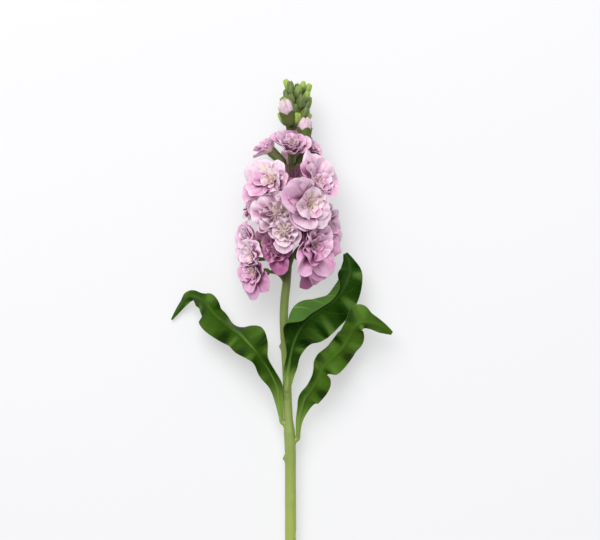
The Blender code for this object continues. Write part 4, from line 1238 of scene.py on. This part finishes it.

# %% [markdown]
# ## Leaf blades
#
# Small waves along the margin, a raised rib and veins that leave it at a slant are added to the bare
# blade. A camera overhead sees a wave only by its light and shade, and this light is very soft. So a
# mark keeps how hollow or how high the wave is, and the finish paints shade in the hollows and
# highlights on the crests, next to the veins, the pale rib and the duller underside.

# %% Waved and veined blades
LEAF_ACROSS = 48
LEAF_ALONG = 150
LEAF_THICKNESS = 0.45
LEAF_ROOM, LEAF_SOFTNESS = 0.35, 0.3
RIB_WIDTH = 1.3
VEINS, VEIN_SLANT = 13, 1.6


def leaf_grid(leaf, phase):
    """The middle of a blade from its right margin to its left one, how thick it is, and its marks."""
    steps = np.linspace(0, 1, LEAF_ALONG + 1)
    values = smooth_through(leaf["stations"], steps)
    line = values[:, :3]
    ahead = unit(np.gradient(line, axis=0))
    right_way = unit(np.cross(ahead, UP))
    up_way = np.cross(right_way, ahead)[:, None]
    half = LEAF_ACROSS // 2
    shares = np.linspace(0, 1, half + 1)
    sides, hollows = [], []
    for column, sign in ((3, -1), (6, 1)):
        rolled = sign < 0 and "roll" in leaf
        width = np.maximum(values[:, column], 0.3)[:, None]
        curl = ramped(shares, *leaf["roll"]) if rolled else shares**3
        turned = np.radians(values[:, column + 1, None] + values[:, column + 2, None] * curl)[:, 1:]
        out, rise = (
            np.concatenate([0 * width, np.cumsum(step * width / half, axis=1)], axis=1)
            for step in (np.cos(turned), np.sin(turned))
        )
        wave = np.sin(steps * 44 + phase + sign) * 1.7 + np.sin(steps * 79 + phase * 2 + sign) * 0.7
        wave = wave * ramped(steps, 0.08, 0.3) * (1 - ramped(steps, 0.85, 1))
        wave = wave[:, None] * (0.4 if rolled else 1)
        vein = np.cos(2 * math.pi * (steps[:, None] * VEINS - shares * VEIN_SLANT))
        rise = rise + wave * shares**1.5 - 0.09 * vein**7 * np.sin(math.pi * shares) * (width > 3)
        hollows.append(-wave * shares**0.7)
        side = line[:, None] + sign * out[..., None] * right_way[:, None]
        sides.append(side + rise[..., None] * up_way)
    grid, hollow = (
        np.concatenate([right[:, :0:-1], left], axis=1).swapaxes(0, 1)
        for left, right in (sides, hollows)
    )
    across, along = np.meshgrid(np.linspace(1, -1, LEAF_ACROSS + 1), steps, indexing="ij")
    wide = np.where(across > 0, values[:, 6], values[:, 3])
    rib = np.interp(steps, np.linspace(0, 1, len(leaf["rib"])), leaf["rib"])
    marks = dict(across=across, along=along, wide=wide, hollow=hollow)
    marks["bright"] = np.full(along.shape, leaf["bright"])
    marks["rib_pale"] = 1 - ramped(along, *leaf["fades"])
    grid = pressed_back(grid, [(np.zeros(3), UP, LEAF_ROOM, LEAF_SOFTNESS)])
    return grid, LEAF_THICKNESS + rib * bell(across * wide, 0, RIB_WIDTH), marks


# %% Leaf green
def leaf_finish():
    """Dark satin green with a pale rib and fine slanted veins, painted shade in the wave hollows and
    painted highlights on the crests; the underside is lighter and duller.
    """
    paint = Finish("leaf green", 0.08, (0.5, 1, 0.15), Specular_IOR_Level=0.06)
    along, across, wide, under = map(paint.mark, ("along", "across", "wide", "under"))
    bright, rib_pale, hollow = map(paint.mark, ("bright", "rib_pale", "hollow"))
    cloud, fine, grain = paint.noise(0.07), paint.noise(0.5), paint.noise(1.2)
    aside = abs(across)
    wander = noise(vector(aside * 2, along * 6, across), 1.2) * 0.12
    slant = cosine((along * VEINS - aside * VEIN_SLANT + wander) * (2 * math.pi))
    vein = ramp(slant, 0.9, 1) * (1 - ramp(aside, 0.7, 1)) * ramp(wide, 2.5, 6)
    rib = 1 - ramp(aside * wide, 0.35, RIB_WIDTH)
    underside = paint.layered(
        (68, 108, 40),
        (0.5 + cloud * 0.4, (88, 126, 56)),
        (vein * 0.5, (126, 158, 92)),
    )
    green = paint.layered(
        (18, 50, 0),
        (0.5 + cloud * 0.4 + fine * 0.15, (40, 76, 6)),
        (bright * 0.45, (92, 130, 34)),
        # Painted shade in the hollows of the waves, and painted highlights on their crests.
        (ramp(hollow, 0.1, 1.5) * 0.75, (14, 38, 0)),
        (ramp(hollow * -1, 0.1, 1.7) * 0.36, (118, 154, 66)),
        (vein * 0.14, (84, 116, 44)),
        (ramp(aside, 0.93, 1) * 0.3, (96, 128, 60)),
        (under, underside),
        (rib * (0.1 + rib_pale * 0.5), (112, 146, 66)),
        (1 - ramp(along + wide * 0.004, 0.04, 0.22), (128, 158, 70)),
    )
    roughness = 0.46 + fine * 0.05 + under * 0.14
    return paint.done(green, roughness, grain * 0.4 - vein * 0.8, 0.3, 0.0003)


LEAF = leaf_finish()

# %% Show the leaves
for number, (name, leaf) in enumerate(LEAVES.items()):
    grid, thickness, marks = leaf_grid(leaf, 2 * number)
    show_sheets(name + "_blade", grid[None], thickness, LEAF, "leaf", name, marks)


# %% [markdown]
# ## Feet of the leaves
#
# A leaf narrows to a thick pale foot that bends into the stalk. A sheet can't show that, so a short
# tube in the stalk's finish runs from inside the stalk to the second station of each leaf.

# %% Tubes from the stalk to the blades
FOOT_PLACES, FOOT_RADII = (0, 0.33, 0.67, 1), np.array((1.2, 2, 1.65, 0.9))
feet = []
for leaf in LEAVES.values():
    first, second = (np.array(station[:3]) for station in leaf["stations"][:2])
    line = (stem_at(first[1] - 12), (stem_at(first[1] - 5) + first) / 2, first, second)
    steps = np.linspace(0, 1, 16)
    radii = np.interp(steps, FOOT_PLACES, leaf["foot"] * FOOT_RADII)
    feet.append(tube(smooth_through(line, steps), radii, 16))
points, faces = joined(feet)
marks = {"along": points[:, 1] / STEM_LENGTH, "pith": np.zeros(len(points))}
show_shape("leaf_feet", (points, faces, marks), STALK)

# %% [markdown]
# ## Table, light and camera
#
# The photograph was taken from straight above, under one large soft light, on white paper. A big area
# light overhead and a pale sky give the same weak shadows. The paper gives off a little light itself,
# because it is nearly evenly bright up to its edges. The camera is far away with a long lens, so that
# the stem shows almost no perspective.

# %% Table
HALF_TABLE = 3
sides = ((-1, -1), (1, -1), (1, 1), (-1, 1))
floor_mesh = bpy.data.meshes.new("table")
floor_mesh.from_pydata([(HALF_TABLE * x, HALF_TABLE * y, 0) for x, y in sides], [], [(0, 1, 2, 3)])
floor = bpy.data.objects.new("table", floor_mesh)
bpy.context.scene.collection.objects.link(floor)
shine = dict(Emission_Color=(1, 1, 1, 1), Emission_Strength=0.44)
paper = Finish("paper", 0, Roughness=0.9, Specular_IOR_Level=0.1, **shine)
mottle = (0.5 + paper.noise(0.004) * 0.1, (186, 186, 188))
paper.feed("Base Color", paper.layered((182, 182, 184), mottle))
floor_mesh.materials.append(paper.material)
print("table:", 2 * HALF_TABLE, "m across")

# %% Sky
SKY_COLOUR, SKY_STRENGTH = (0.96, 0.96, 1, 1), 0.36
HEAD_PLACE = np.array((0, 0.05, 0))
scene = bpy.context.scene
scene.view_settings.view_transform = "Standard"
scene.world = bpy.data.worlds.new("studio")
scene.world.use_nodes = True
background = scene.world.node_tree.nodes["Background"]
background.inputs["Color"].default_value = SKY_COLOUR
background.inputs["Strength"].default_value = SKY_STRENGTH
print("sky strength:", SKY_STRENGTH)

# %% Lamps
def soft_light(name, place, size, power):
    """A round area light that shines on the stem."""
    lamp = bpy.data.lights.new(name, "AREA")
    lamp.shape = "DISK"
    lamp.size = size
    lamp.energy = power
    made = bpy.data.objects.new(name, lamp)
    made.location = place
    x, y, z = HEAD_PLACE - np.array(place)
    made.rotation_euler = (math.atan2(math.hypot(x, y), -z), 0, math.atan2(x, -y) + math.pi)
    scene.collection.objects.link(made)
    print(name, "light:", size, "m across,", power, "W")


soft_light("window", (-0.4, 1.15, 1.8), 1.5, 29)
soft_light("overhead", (-0.1, 0.75, 2.5), 1.8, 19)

# %% Camera
LENS, SENSOR = 182.8, 36
camera = bpy.data.objects.new("camera", bpy.data.cameras.new("camera"))
camera.data.lens = LENS
camera.data.sensor_width = SENSOR
camera.location = (0.0121, 0.0771, 2)
scene.collection.objects.link(camera)
scene.camera = camera
print("camera", camera.location.z, "m above the table, lens", LENS, "mm")
